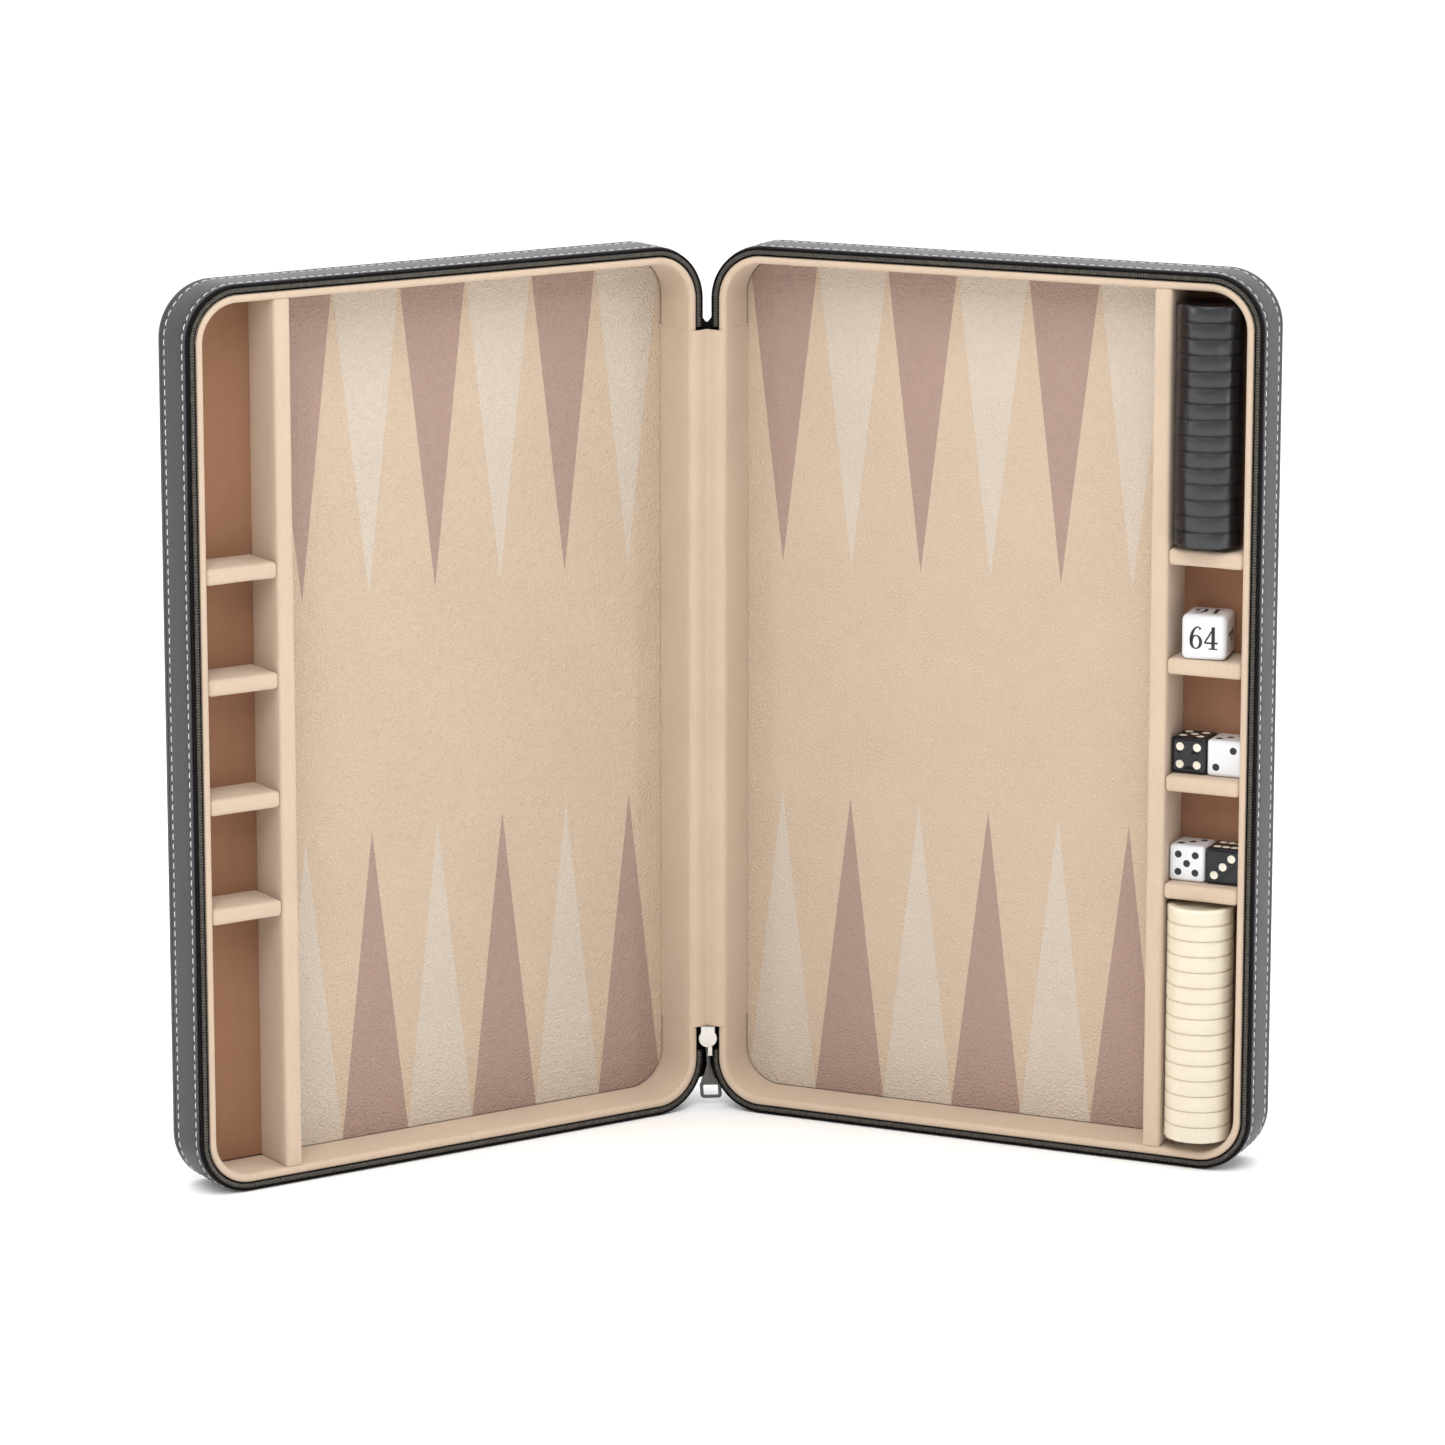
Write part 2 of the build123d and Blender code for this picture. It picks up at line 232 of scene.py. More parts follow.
class Finish:
    """A material under construction."""

    def __init__(self, name, **constants):
        self.material = bpy.data.materials.new(name)
        self.material.use_nodes = True
        self.nodes = self.material.node_tree.nodes
        self.links = self.material.node_tree.links
        self.nodes.clear()
        self.shader = self.nodes.new("ShaderNodeBsdfPrincipled")
        output = self.nodes.new("ShaderNodeOutputMaterial")
        self.links.new(self.shader.outputs[0], output.inputs["Surface"])
        for socket, value in constants.items():
            self.shader.inputs[socket.replace("_", " ")].default_value = value

    def node(self, kind, settings, inputs, output=0):
        """Adds a node, sets it up, feeds its sockets and returns one of its outputs."""
        made = self.nodes.new(kind)
        for name, value in settings.items():
            if name == "stops":
                set_ramp(made.color_ramp, value)
            else:
                setattr(made, name, value)
        for socket, value in inputs.items():
            self.feed(made.inputs[socket], value)
        return Signal(self, made.outputs[output])

    def feed(self, socket, value):
        if isinstance(value, Signal):
            self.links.new(value.socket, socket)
        else:
            socket.default_value = value

    def set(self, **values):
        for socket, value in values.items():
            self.feed(self.shader.inputs[socket.replace("_", " ")], value)
        return self.material

    def place(self):
        return self.node("ShaderNodeTexCoord", {}, {}, "Object")

    def stretched(self, scale):
        """The place, scaled by a different amount along each axis."""
        settings = {"operation": "MULTIPLY"}
        return self.node("ShaderNodeVectorMath", settings, {0: self.place(), 1: scale})

    def cloud(self, scale, detail=3.0, rough=0.55, vector=None):
        """Soft noise from 0 to 1, with that many waves to the metre."""
        inputs = {"Scale": scale, "Detail": detail, "Roughness": rough}
        inputs["Vector"] = self.place() if vector is None else vector
        return self.node("ShaderNodeTexNoise", {}, inputs)

    def cells(self, scale, feature="F1", randomness=1.0, smooth=None, vector=None):
        """Distance to the nearest of many scattered points."""
        inputs = {"Scale": scale, "Randomness": randomness}
        inputs["Vector"] = self.place() if vector is None else vector
        if smooth is not None:
            inputs["Smoothness"] = smooth
        return self.node("ShaderNodeTexVoronoi", {"feature": feature}, inputs, "Distance")

    def mix(self, factor, low, high):
        """A colour between two colours."""
        settings = {"data_type": "RGBA", "clamp_factor": True}
        inputs = {0: factor, 6: rgba(low), 7: rgba(high)}
        return self.node("ShaderNodeMix", settings, inputs, 2)

    def bump(self, relief, distance, strength=1.0, normal=None):
        """A normal tilted by a height signal, with the given height in metres."""
        inputs = {"Height": relief, "Distance": distance, "Strength": strength}
        if normal is not None:
            inputs["Normal"] = normal
        return self.node("ShaderNodeBump", {}, inputs)


def rgba(colour):
    if isinstance(colour, Signal):
        return colour
    return (*colour[:3], 1.0)


def set_ramp(ramp, stops):
    for index, (position, colour) in enumerate(stops):
        element = ramp.elements[index] if index < 2 else ramp.elements.new(position)
        element.position = position
        element.color = rgba(colour)


def tint(colour, factor):
    return tuple(min(1.0, channel * factor) for channel in colour)


# ---------------------------------------------------------------- finishes


def case_leather():
    """Charcoal leatherette: a fine even grain with faint creases and scuffs."""
    finish = Finish("charcoal_leatherette", Specular_IOR_Level=0.27)
    warp = finish.cloud(500.0, 2.0)
    grain = finish.cells(1500.0, "DISTANCE_TO_EDGE").between(0.0, 0.32)
    creases = finish.cloud(2600.0, 4.0, 0.65)
    relief = grain * 0.7 + creases * 0.35 + warp * 0.4
    patches = finish.cloud(38.0, 4.0, 0.6)
    scuffs = finish.cloud(210.0, 6.0, 0.72).between(0.58, 0.78)
    base = finish.mix(patches, (0.026, 0.025, 0.031), (0.038, 0.036, 0.043))
    base = finish.mix(scuffs * 0.3, base, (0.075, 0.072, 0.080))
    # Painted shade: the furrows along the grain cells' edges, low in the relief, are mixed darker.
    base = finish.mix((1 - grain) * 0.55, base, (0.014, 0.013, 0.016))
    rough = 0.34 + 0.10 * patches + 0.08 * creases - 0.04 * grain
    return finish.set(Base_Color=base, Roughness=rough, Normal=finish.bump(relief, 0.00012, 0.75))


def thread():
    """Pale grey sewing thread, twisted."""
    finish = Finish("pale_thread", Sheen_Weight=0.3)
    ply = (finish.cloud(2400.0, 2.0)).between(0.35, 0.65)
    base = finish.mix(ply, (0.46, 0.45, 0.43), (0.70, 0.69, 0.66))
    return finish.set(Base_Color=base, Roughness=0.62 + 0.2 * ply,
                      Normal=finish.bump(ply, 0.00008, 0.6))


def suede(name="beige_suede", colour=(0.545, 0.425, 0.320), nap=1.0):
    """Beige suede cloth: short nap that lies in faint streaks."""
    finish = Finish(name, Sheen_Weight=0.22, Sheen_Roughness=0.45, Specular_IOR_Level=0.2)
    fibres = finish.cloud(2100.0, 5.0, 0.7, finish.stretched((1.0, 1.0, 0.45)))
    streaks = finish.cloud(520.0, 4.0, 0.65, finish.stretched((1.0, 1.0, 0.2)))
    patches = finish.cloud(34.0, 3.0)
    tone = (0.50 * fibres + 0.25 * streaks + 0.25 * patches).between(0.25, 0.75)
    base = finish.mix(tone, tint(colour, 0.90), tint(colour, 1.09))
    relief = fibres * 0.9 + streaks * 0.12
    return finish.set(Base_Color=base, Roughness=0.82 + 0.14 * streaks,
                      Normal=finish.bump(relief, 0.00016 * nap, 0.8))


def field_leather(name, colour, grain_scale=820.0):
    """Soft pebbled leatherette of the playing field and its points."""
    finish = Finish(name, Specular_IOR_Level=0.35, Sheen_Weight=0.08)
    drift = finish.cloud(330.0, 2.0)
    shift = finish.node("ShaderNodeVectorMath", {"operation": "SCALE"},
                        {0: finish.place(), "Scale": 1.0})
    wander = finish.node("ShaderNodeVectorMath", {"operation": "MULTIPLY_ADD"},
                         {0: drift, 1: (0.0012, 0.0012, 0.0012), 2: shift})
    pebbles = finish.cells(grain_scale, "SMOOTH_F1", 1.0, 0.35, wander)
    hills = 1 - pebbles.between(0.05, 0.62)
    pores = finish.cloud(3100.0, 3.0, 0.6)
    patches = finish.cloud(26.0, 4.0, 0.55)
    base = finish.mix(patches, tint(colour, 0.93), tint(colour, 1.06))
    # Painted highlight: the raised tops of the pebbles are lighter, which leaves the hollows between
    # them as painted shade.
    base = finish.mix(hills * 0.6, base, tint(colour, 1.22))
    base = finish.mix(pores.between(0.55, 0.8) * 0.22, base, tint(colour, 0.62))
    relief = hills * 0.8 + pores * 0.25 + drift * 0.3
    rough = 0.50 + 0.14 * patches + 0.12 * pores
    return finish.set(Base_Color=base, Roughness=rough, Normal=finish.bump(relief, 0.00050, 0.9))


def zip_cloth():
    """Black woven zip tape, a fine herringbone."""
    finish = Finish("black_zip_tape", Specular_IOR_Level=0.06)
    lint = finish.cloud(900.0, 5.0, 0.7)
    weave = finish.cells(2300.0, "F1", 0.25)
    base = finish.mix(lint.between(0.4, 0.75), (0.0035, 0.003, 0.0028), (0.011, 0.0095, 0.0085))
    relief = weave * 0.8 + lint * 0.3
    return finish.set(Base_Color=base, Roughness=0.68 + 0.2 * lint,
                      Normal=finish.bump(relief, 0.00015, 0.8))


def coil_nylon():
    """Black-brown nylon of the zip's coil."""
    finish = Finish("black_nylon", Specular_IOR_Level=0.5)
    rub = finish.cloud(420.0, 5.0, 0.7)
    base = finish.mix(rub.between(0.35, 0.75), (0.040, 0.034, 0.028), (0.085, 0.073, 0.060))
    return finish.set(Base_Color=base, Roughness=0.30 + 0.25 * rub,
                      Normal=finish.bump(rub, 0.00004, 0.5))


def plate(name, low, high, rough):
    """Plated zinc, lightly rubbed."""
    finish = Finish(name, Metallic=1.0)
    rubs = finish.cloud(900.0, 6.0, 0.7, finish.stretched((1.0, 1.0, 0.2)))
    patches = finish.cloud(260.0, 3.0)
    base = finish.mix(0.5 * rubs + 0.5 * patches, low, high)
    return finish.set(Base_Color=base, Roughness=rough + 0.18 * rubs,
                      Normal=finish.bump(rubs, 0.00003, 0.5))


def acrylic(name, low, high, rough, coat=0.4):
    """Polished cast acrylic with faint handling marks."""
    finish = Finish(name, Coat_Weight=coat, Coat_Roughness=0.05, Specular_IOR_Level=0.35)
    marks = finish.cloud(520.0, 6.0, 0.75, finish.stretched((1.0, 1.0, 0.35)))
    clouds = finish.cloud(90.0, 3.0)
    base = finish.mix(clouds, low, high)
    return finish.set(Base_Color=base, Roughness=rough + 0.14 * marks.between(0.5, 0.8),
                      Normal=finish.bump(marks, 0.00002, 0.35))


def film_finish():
    """Clear shrink film: seen by its shine, and a little milky where it is creased."""
    finish = Finish("clear_film", Metallic=1.0, Base_Color=(0.93, 0.93, 0.94, 1.0))
    creases = finish.cloud(150.0, 5.0, 0.7, finish.stretched((1.0, 1.0, 0.25)))
    folds = finish.cloud(60.0, 2.0, 0.5, finish.stretched((1.0, 1.0, 0.35)))
    tilted = finish.bump(creases * 0.5 + folds * 1.2, 0.0009, 0.7)
    haze = creases.between(0.58, 0.82)
    shine = finish.node("ShaderNodeFresnel", {}, {"IOR": 1.5, "Normal": tilted})
    return finish.set(Roughness=0.07 + 0.2 * haze, Alpha=0.006 + 0.5 * shine + 0.05 * haze,
                      Normal=tilted)


def ink():
    """Black paint in the hollows of the dice and in the cube's numerals."""
    finish = Finish("black_ink", Specular_IOR_Level=0.4)
    wear = finish.cloud(1500.0, 4.0, 0.6)
    base = finish.mix(wear, (0.008, 0.008, 0.010), (0.026, 0.026, 0.030))
    return finish.set(Base_Color=base, Roughness=0.32 + 0.2 * wear)


def inlay():
    """Cream paint in the hollows of the black dice."""
    finish = Finish("cream_inlay", Specular_IOR_Level=0.4)
    wear = finish.cloud(1300.0, 4.0, 0.6)
    base = finish.mix(wear, (0.62, 0.58, 0.47), (0.80, 0.77, 0.66))
    return finish.set(Base_Color=base, Roughness=0.35 + 0.2 * wear)


def board():
    """Grey board of the carcass, seen only at cut edges."""
    finish = Finish("pressed_board", Specular_IOR_Level=0.2)
    fibres = finish.cloud(800.0, 5.0, 0.7)
    base = finish.mix(fibres, (0.16, 0.13, 0.10), (0.26, 0.21, 0.16))
    return finish.set(Base_Color=base, Roughness=0.85 + 0.1 * fibres,
                      Normal=finish.bump(fibres, 0.0001, 0.6))


leather_finish = case_leather()
thread_finish = thread()
suede_finish = suede()
gusset_finish = suede("gusset_suede", (0.545, 0.425, 0.320), 0.6)
# Painted shade: the tray pad's suede is a darker, more saturated copy of the beige suede, standing in
# for the shade on the tray floors.
tray_painted_shade_finish = suede("tray_suede_painted_shade", (0.31, 0.160, 0.095))
panel_finish = field_leather("beige_field_leatherette", (0.525, 0.410, 0.305))
mauve_finish = field_leather("mauve_point_leatherette", (0.350, 0.243, 0.200))
ivory_finish = field_leather("ivory_point_leatherette", (0.545, 0.468, 0.388))
tape_finish = zip_cloth()
coil_finish = coil_nylon()
nickel_finish = plate("nickel_plate", (0.62, 0.60, 0.56), (0.80, 0.78, 0.74), 0.22)
gunmetal_finish = plate("gunmetal_plate", (0.085, 0.082, 0.080), (0.16, 0.155, 0.15), 0.20)
black_finish = acrylic("black_acrylic", (0.0030, 0.0034, 0.0060), (0.006, 0.007, 0.011), 0.16, 0.0)
cream_finish = acrylic("cream_acrylic", (0.80, 0.72, 0.575), (0.86, 0.78, 0.63), 0.24, 0.2)
white_die_finish = acrylic("white_acrylic", (0.64, 0.645, 0.66), (0.69, 0.695, 0.71), 0.16, 0.25)
black_die_finish = acrylic("black_dice_acrylic", (0.006, 0.006, 0.009), (0.011, 0.011, 0.015),
                           0.16, 0.0)
film_material = film_finish()
ink_finish = ink()
inlay_finish = inlay()
board_finish = board()

# ---------------------------------------------------------------- mesh kit


def piece(name, verts, faces, finishes, sharp=35.0):
    """A mesh object with its normals outwards, smooth except at edges sharper than given."""
    mesh = bpy.data.meshes.new(name)
    mesh.from_pydata([tuple(v) for v in verts], [], faces)
    shape = bmesh.new()
    shape.from_mesh(mesh)
    bmesh.ops.recalc_face_normals(shape, faces=shape.faces)
    shape.to_mesh(mesh)
    shape.free()
    mesh.shade_smooth()
    mesh.set_sharp_from_angle(angle=math.radians(sharp))
    for finish in finishes if isinstance(finishes, list) else [finishes]:
        mesh.materials.append(finish)
    made = bpy.data.objects.new(name, mesh)
    bpy.context.scene.collection.objects.link(made)
    return made


def settle(made, body, slot, *nodes):
    """Lets a piece ride on a body and stand for CAD nodes, which it hides. slot is not used."""
    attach(made, body)
    if nodes:
        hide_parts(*nodes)
    return made


def both_halves(name, shape, finish, slot, node=None, sharp=35.0):
    """The same piece on the right half and, mirrored, on the left half."""
    verts, faces = shape
    for side, sign in (("right", 1), ("left", -1)):
        spots = [(sign * v[0], v[1], v[2]) for v in verts]
        made = piece(f"{side}_{name}", spots, faces, finish, sharp)
        settle(made, f"{side}_half", slot, *([f"{side}_{node}"] if node else []))


def grid_faces(rows, columns, wrap_rows, wrap_columns, first=0):
    """Quads between rows and columns of vertices."""
    faces = []
    for i in range(rows if wrap_rows else rows - 1):
        for j in range(columns if wrap_columns else columns - 1):
            a = first + i * columns + j
            b = first + i * columns + (j + 1) % columns
            c = first + ((i + 1) % rows) * columns + (j + 1) % columns
            d = first + ((i + 1) % rows) * columns + j
            faces.append((a, b, c, d))
    return faces


def swept(stops, profile, closed=True):
    """A closed profile of (d, n) swept round the case, as a ring or as a length with two ends."""
    verts = []
    for t in stops:
        section = profile(t) if callable(profile) else profile
        verts += [at(t, d, n) for d, n in section]
    columns = len(section)
    faces = grid_faces(len(stops), columns, closed, True)
    if not closed:
        faces.append(tuple(range(columns)))
        faces.append(tuple(range(len(verts) - columns, len(verts))))
    return verts, faces


def ring(profile):
    """A closed profile swept all the way round."""
    return swept(round_stops()[:-1], profile)


def arc(centre, radius, start, end, steps):
    """Points along an arc, in degrees."""
    points = []
    for i in range(steps + 1):
        angle = math.radians(start + (end - start) * i / steps)
        points.append((centre[0] + radius * math.cos(angle), centre[1] + radius * math.sin(angle)))
    return points


def joined(*shapes):
    """Several shapes as one."""
    verts = []
    faces = []
    for spots, sides in shapes:
        faces += [tuple(index + len(verts) for index in side) for side in sides]
        verts += list(spots)
    return verts, faces


# ---------------------------------------------------------------- leather of the case

stitch_front = band_n[0] + 2.3
stitch_back = 20.8
seam = 23.4
stitch_dip = 0.16


def dip(depth):
    """The shallow groove that a row of stitches pulls into the leather."""
    return [(0.0, depth - 0.9), (0.6 * stitch_dip, depth - 0.35), (stitch_dip, depth),
            (0.6 * stitch_dip, depth + 0.35), (0.0, depth + 0.9)]


def band_profile():
    front = band_n[0]
    return [
        (0.86, front + 0.25), (0.62, front - 0.05), (0.30, front - 0.08), (0.08, front + 0.12),
        (0.0, front + 0.5), *dip(stitch_front), (-0.10, 8.5), (-0.14, 12.5), (-0.10, 17.0),
        *dip(stitch_back), (0.0, seam - 0.5), (0.12, seam - 0.18), (0.5, seam - 0.08),
        (0.86, seam - 0.08),
    ]


def cover_profile():
    round_centre = (4.2, case_depth - 4.2)
    return [
        (0.86, seam + 0.08), (0.5, seam + 0.08), (0.10, seam + 0.2), (0.0, seam + 0.55),
        *arc(round_centre, 4.2, 180, 90, 9), (7.0, case_depth + 0.10), (12.0, case_depth + 0.16),
        (20.0, case_depth + 0.18), (20.0, case_depth - 0.95), (3.4, case_depth - 0.95),
        (0.95, case_depth - 3.6),
    ]


both_halves("side_leather", ring(band_profile()), leather_finish, "case_leather", "side_band", 50.0)

cover_section = cover_profile()
cover_verts, cover_faces = ring(cover_section)
rows = len(cover_verts) // len(cover_section)
for column in (cover_section.index((20.0, case_depth + 0.18)),
               cover_section.index((20.0, case_depth - 0.95))):
    cover_faces.append(tuple(row * len(cover_section) + column for row in range(rows)))
both_halves("back_leather", (cover_verts, cover_faces), leather_finish, "case_leather",
            "back_cover", 50.0)

stitch_pitch = 4.2
stitch_length = 3.0
stitch_rings = ((0.0, 0.30, 0.15), (0.13, 0.0, 0.26), (0.5, -0.12, 0.30), (0.87, 0.0, 0.26),
                (1.0, 0.30, 0.15))
stitch_sides = 7


def stitch(t, depth, sink):
    """One stitch: a short plump length of thread that dives into the leather at both ends."""
    verts = []
    for along, d, radius in stitch_rings:
        for side in range(stitch_sides):
            angle = 2 * math.pi * side / stitch_sides
            spot = (sink + d + radius * 0.8 * math.cos(angle), depth + radius * math.sin(angle))
            verts.append(at(t + along * stitch_length, *spot))
    rings = len(stitch_rings)
    faces = grid_faces(rings, stitch_sides, False, True)
    faces.append(tuple(range(stitch_sides)))
    faces.append(tuple(range((rings - 1) * stitch_sides, rings * stitch_sides)))
    return verts, faces


def stitch_row(depth):
    """A row of stitches from below the spine cover round to above it."""
    start, end = height / 2 - 19.0, hinge_drop["top"] - 1.0
    count = int((end - start) // stitch_pitch)
    pitch = (end - start) / count
    return joined(*[stitch(start + i * pitch, depth, stitch_dip - 0.1) for i in range(count)])


both_halves("stitching", joined(stitch_row(stitch_front), stitch_row(stitch_back)),
            thread_finish, "case_leather", None, 80.0)

# ---------------------------------------------------------------- zip round the rim

channel_floor = 4.3
tape_edge = [
    (0.95, 7.0), (0.95, 3.1), (0.70, 2.5), (0.50, 1.8), (0.44, 1.2), (0.52, 0.72), (0.76, 0.42),
    (1.10, 0.34), (1.30, 0.52), (1.16, 0.80), (0.98, 1.2), (1.00, 2.0), (1.20, 2.6), (1.38, 3.2),
    (1.38, 7.0),
]
channel_section = [
    (1.40, channel_floor - 1.2), (channel - 0.70, channel_floor - 1.2), (channel - 0.50, 1.9),
    (channel - 0.36, 1.35), (channel - 0.12, 1.3), (channel - 0.02, 1.7),
    (channel - 0.02, channel_floor + 0.45), (1.40, channel_floor + 0.45),
]
both_halves("zip_channel", ring(channel_section), tape_finish, "zip_tape", "zip_chain")
tape_top = 44.0                  # height to which the tape rises beside the slider
zip_run = round_stops(height / 2 - tape_top, hinge_drop["top"], 6.0, 1.2)
both_halves("zip_tape", swept(zip_run, tape_edge, closed=False), tape_finish, "zip_tape")

coil_middle = (2.42, 1.10)
coil_size = (1.18, 1.06)
coil_pitch = 1.26
coil_steps = 8
coil_sides = 10


def coil_section(t):
    """The coil's outline: full on a turn of the coil and thinner between turns."""
    turn = 0.5 + 0.5 * math.cos(2 * math.pi * (t - hinge_drop["bottom"]) / coil_pitch)
    swell = 0.48 + 0.52 * turn ** 0.7
    section = []
    for side in range(coil_sides):
        angle = 2 * math.pi * side / coil_sides
        section.append((
            coil_middle[0] + coil_size[0] * (0.55 + 0.45 * swell) * math.cos(angle),
            coil_middle[1] + coil_size[1] * swell * math.sin(angle),
        ))
    return section


turns = int((hinge_drop["top"] - hinge_drop["bottom"]) / coil_pitch)
coil_stops = [hinge_drop["bottom"] + i * coil_pitch / coil_steps for i in range(turns * coil_steps)]
both_halves("zip_coil", swept(coil_stops, coil_section, closed=False), coil_finish, "zip_tape",
            None, 60.0)

# ---------------------------------------------------------------- lining, rack and field

rim_front = lining_n[0]
rim_radius = 1.7
field = panel_n[0]
lining_section = [
    (wall - 0.45, panel_n[1] - 0.1), (wall - 0.45, field - 0.2), (wall - 0.30, field - 0.75),
    (wall - 0.08, field - 1.3), (wall, field - 2.2),
    *arc((wall - rim_radius, rim_front + rim_radius), rim_radius, 0, -90, 7),
    *arc((channel + 1.2, rim_front + 1.2), 1.2, -90, -180, 6),
    (channel, channel_floor), (wall - 0.9, channel_floor), (wall - 0.9, panel_n[1] - 0.1),
]
both_halves("rim_lining", ring(lining_section), suede_finish, "suede", "lining", 50.0)


def soft_block(u_range, n_range, z_range, radius, steps=4, cell=6.0, sway=0.12):
    """A cloth-covered board: rounded edges and faces that aren't quite flat."""
    shape = bmesh.new()
    bmesh.ops.create_cube(shape, size=1.0)
    for vertex in shape.verts:
        spot = [
            (low + high) / 2 + (high - low) * part
            for (low, high), part in zip((u_range, n_range, z_range), vertex.co)
        ]
        vertex.co = Vector(spot)
    bmesh.ops.bevel(shape, geom=shape.edges[:], offset=radius, segments=steps, affect="EDGES",
                    profile=0.5)
    for axis, (low, high) in enumerate((u_range, n_range, z_range)):
        cuts = int((high - low) / cell)
        for cut in range(1, cuts):
            place = Vector((0, 0, 0))
            place[axis] = low + (high - low) * cut / cuts
            normal = Vector((0, 0, 0))
            normal[axis] = 1.0
            bmesh.ops.bisect_plane(shape, geom=shape.verts[:] + shape.edges[:] + shape.faces[:],
                                   plane_co=place, plane_no=normal)
    shape.normal_update()
    for vertex in shape.verts:
        wave = noise.noise(vertex.co * 0.055) + 0.5 * noise.noise(vertex.co * 0.16)
        vertex.co += vertex.normal * sway * wave
    shape.verts.index_update()
    verts = [world(*vertex.co) for vertex in shape.verts]
    faces = [tuple(vertex.index for vertex in face.verts) for face in shape.faces]
    shape.free()
    return verts, faces


rack_front = rack_n[0] + 0.1
divider_range = (rack_u[0] + 0.1, tray_near - 0.1)
rack_shapes = [soft_block(divider_range, (rack_front, rack_n[1] - 0.2),
                          (rack_z[0] - 0.4, rack_z[1] + 0.4), 1.5)]
for middle in shelf_middles:
    shelf_range = (middle - shelf_thickness / 2, middle + shelf_thickness / 2)
    rack_shapes.append(soft_block((tray_near + 0.02, tray_far - 0.05), (rack_front, tray_floor + 1.0),
                                  shelf_range, 1.7))
both_halves("tray_rack", joined(*rack_shapes), suede_finish, "suede", "tray_rack", 60.0)
# The pad takes the suede with painted shade, darker than the rest of the lining.
tray_pad = soft_block((tray_near - 0.5, tray_far + 0.4), (tray_floor, tray_floor + 2.6),
                      (rack_z[0] + 0.2, rack_z[1] - 0.2), 0.8, 3, 8.0, 0.15)
both_halves("tray_pad", tray_pad, tray_painted_shade_finish, "suede", None, 60.0)

for half in ("right", "left"):
    for node, finish in (("play_panel", panel_finish), ("points_mauve", mauve_finish),
                         ("points_ivory", ivory_finish), ("shell", board_finish)):
        frame["nodes"][f"{half}_{node}"].data.materials.clear()
        frame["nodes"][f"{half}_{node}"].data.materials.append(finish)

# ---------------------------------------------------------------- spine

gusset_low, gusset_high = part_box("spine_gusset")
cover_low, cover_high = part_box("spine_cover")


def folded_strip(path, thickness, z_range, rows, wave):
    """A sheet that follows a path of (u, n) in both halves, as a closed thin mesh.

    path runs from the deep edge in the right half to the hinge. wave moves a row up or down.
    """
    right = [world(u, n, 0) for u, n in path]
    line = right + [Vector((-spot.x, spot.y, 0)) for spot in reversed(right[:-1])]
    lengths = [0.0]
    for before, after in zip(line, line[1:]):
        lengths.append(lengths[-1] + (after - before).length)
    verts = []
    for layer in (0, 1):
        for row in range(rows + 1):
            for index, spot in enumerate(line):
                before = line[max(index - 1, 0)]
                after = line[min(index + 1, len(line) - 1)]
                course = (after - before).normalized()
                side = Vector((course.y, -course.x, 0)) * thickness * MM * layer
                share = row / rows
                z = z_range[0] + (z_range[1] - z_range[0]) * share
                lift = wave(lengths[index] / lengths[-1], share)
                verts.append(Vector((spot.x, spot.y, z + lift * MM)) + side)
    columns = len(line)
    count = columns * (rows + 1)
    faces = grid_faces(rows + 1, columns, False, False)
    faces += [tuple(index + count for index in face) for face in faces]
    edge = [i for i in range(columns)]
    edge += [row * columns + columns - 1 for row in range(1, rows + 1)]
    edge += [rows * columns + i for i in range(columns - 2, -1, -1)]
    edge += [row * columns for row in range(rows - 1, 0, -1)]
    for first, second in zip(edge, edge[1:] + edge[:1]):
        faces.append((first, second, second + count, first + count))
    return (verts, faces), lengths[-1]


inner_face = wall + side_near + 0.08
gusset_path = [
    (inner_face, 24.2), (inner_face + 0.03, 20.0), (inner_face + 0.06, 15.0),
    (inner_face + 0.10, 10.0), (inner_face + 0.13, 6.5), (inner_face + 0.10, 4.2),
    (inner_face - 0.02, 2.5), (inner_face - 0.32, 1.15), (inner_face - 0.95, 0.10),
    (inner_face - 1.9, -0.50), (inner_face - 3.1, -0.78), (inner_face - 4.5, -0.85),
    (3.0, -0.78), (1.9, -0.60), (1.1, -0.38),
]
hinge_spot = world(0.35, -0.42, 0)
gusset_path.append((
    -((hinge_spot.y / MM - hinge_y) * lean_sin),
    (hinge_spot.y / MM - hinge_y) * lean_cos,
))


def gusset_wave(across, up):
    """The ends of the gusset sag a little between where they are held."""
    middle = 1 - abs(2 * across - 1)
    return 0.35 * math.sin(math.pi * middle) * (1 if up < 0.5 else -1) * abs(2 * up - 1)


gusset_shape, gusset_width = folded_strip(
    gusset_path, 0.45, (gusset_low.z, gusset_high.z), 40, gusset_wave)
gusset = piece("spine_gusset_cloth", *gusset_shape, gusset_finish, 50.0)


def bend_at_hinge(made, slot, *nodes):
    """Fixes a piece's place into its mesh and hides the CAD nodes it stands for. slot is not used."""
    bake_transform(made)
    if nodes:
        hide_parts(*nodes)


bend_at_hinge(gusset, "suede", "spine_gusset")

outer_face = side_near - 0.12
cover_path = [
    (outer_face, 23.6), (outer_face, 19.0), (outer_face - 0.02, 14.0), (outer_face, 9.0),
    (outer_face - 0.04, 5.0), (outer_face - 0.12, 2.8), (outer_face - 0.35, 1.6),
]
fold_y = world(0.35, 0.9, 0).y / MM - hinge_y
cover_path.append((-fold_y * lean_sin, fold_y * lean_cos))
cover_shape, cover_width = folded_strip(
    cover_path, -0.7, (cover_low.z, cover_high.z), 40, lambda across, up: 0.0)
cover = piece("spine_cover_leather", *cover_shape, leather_finish, 50.0)
bend_at_hinge(cover, "case_leather", "spine_cover")


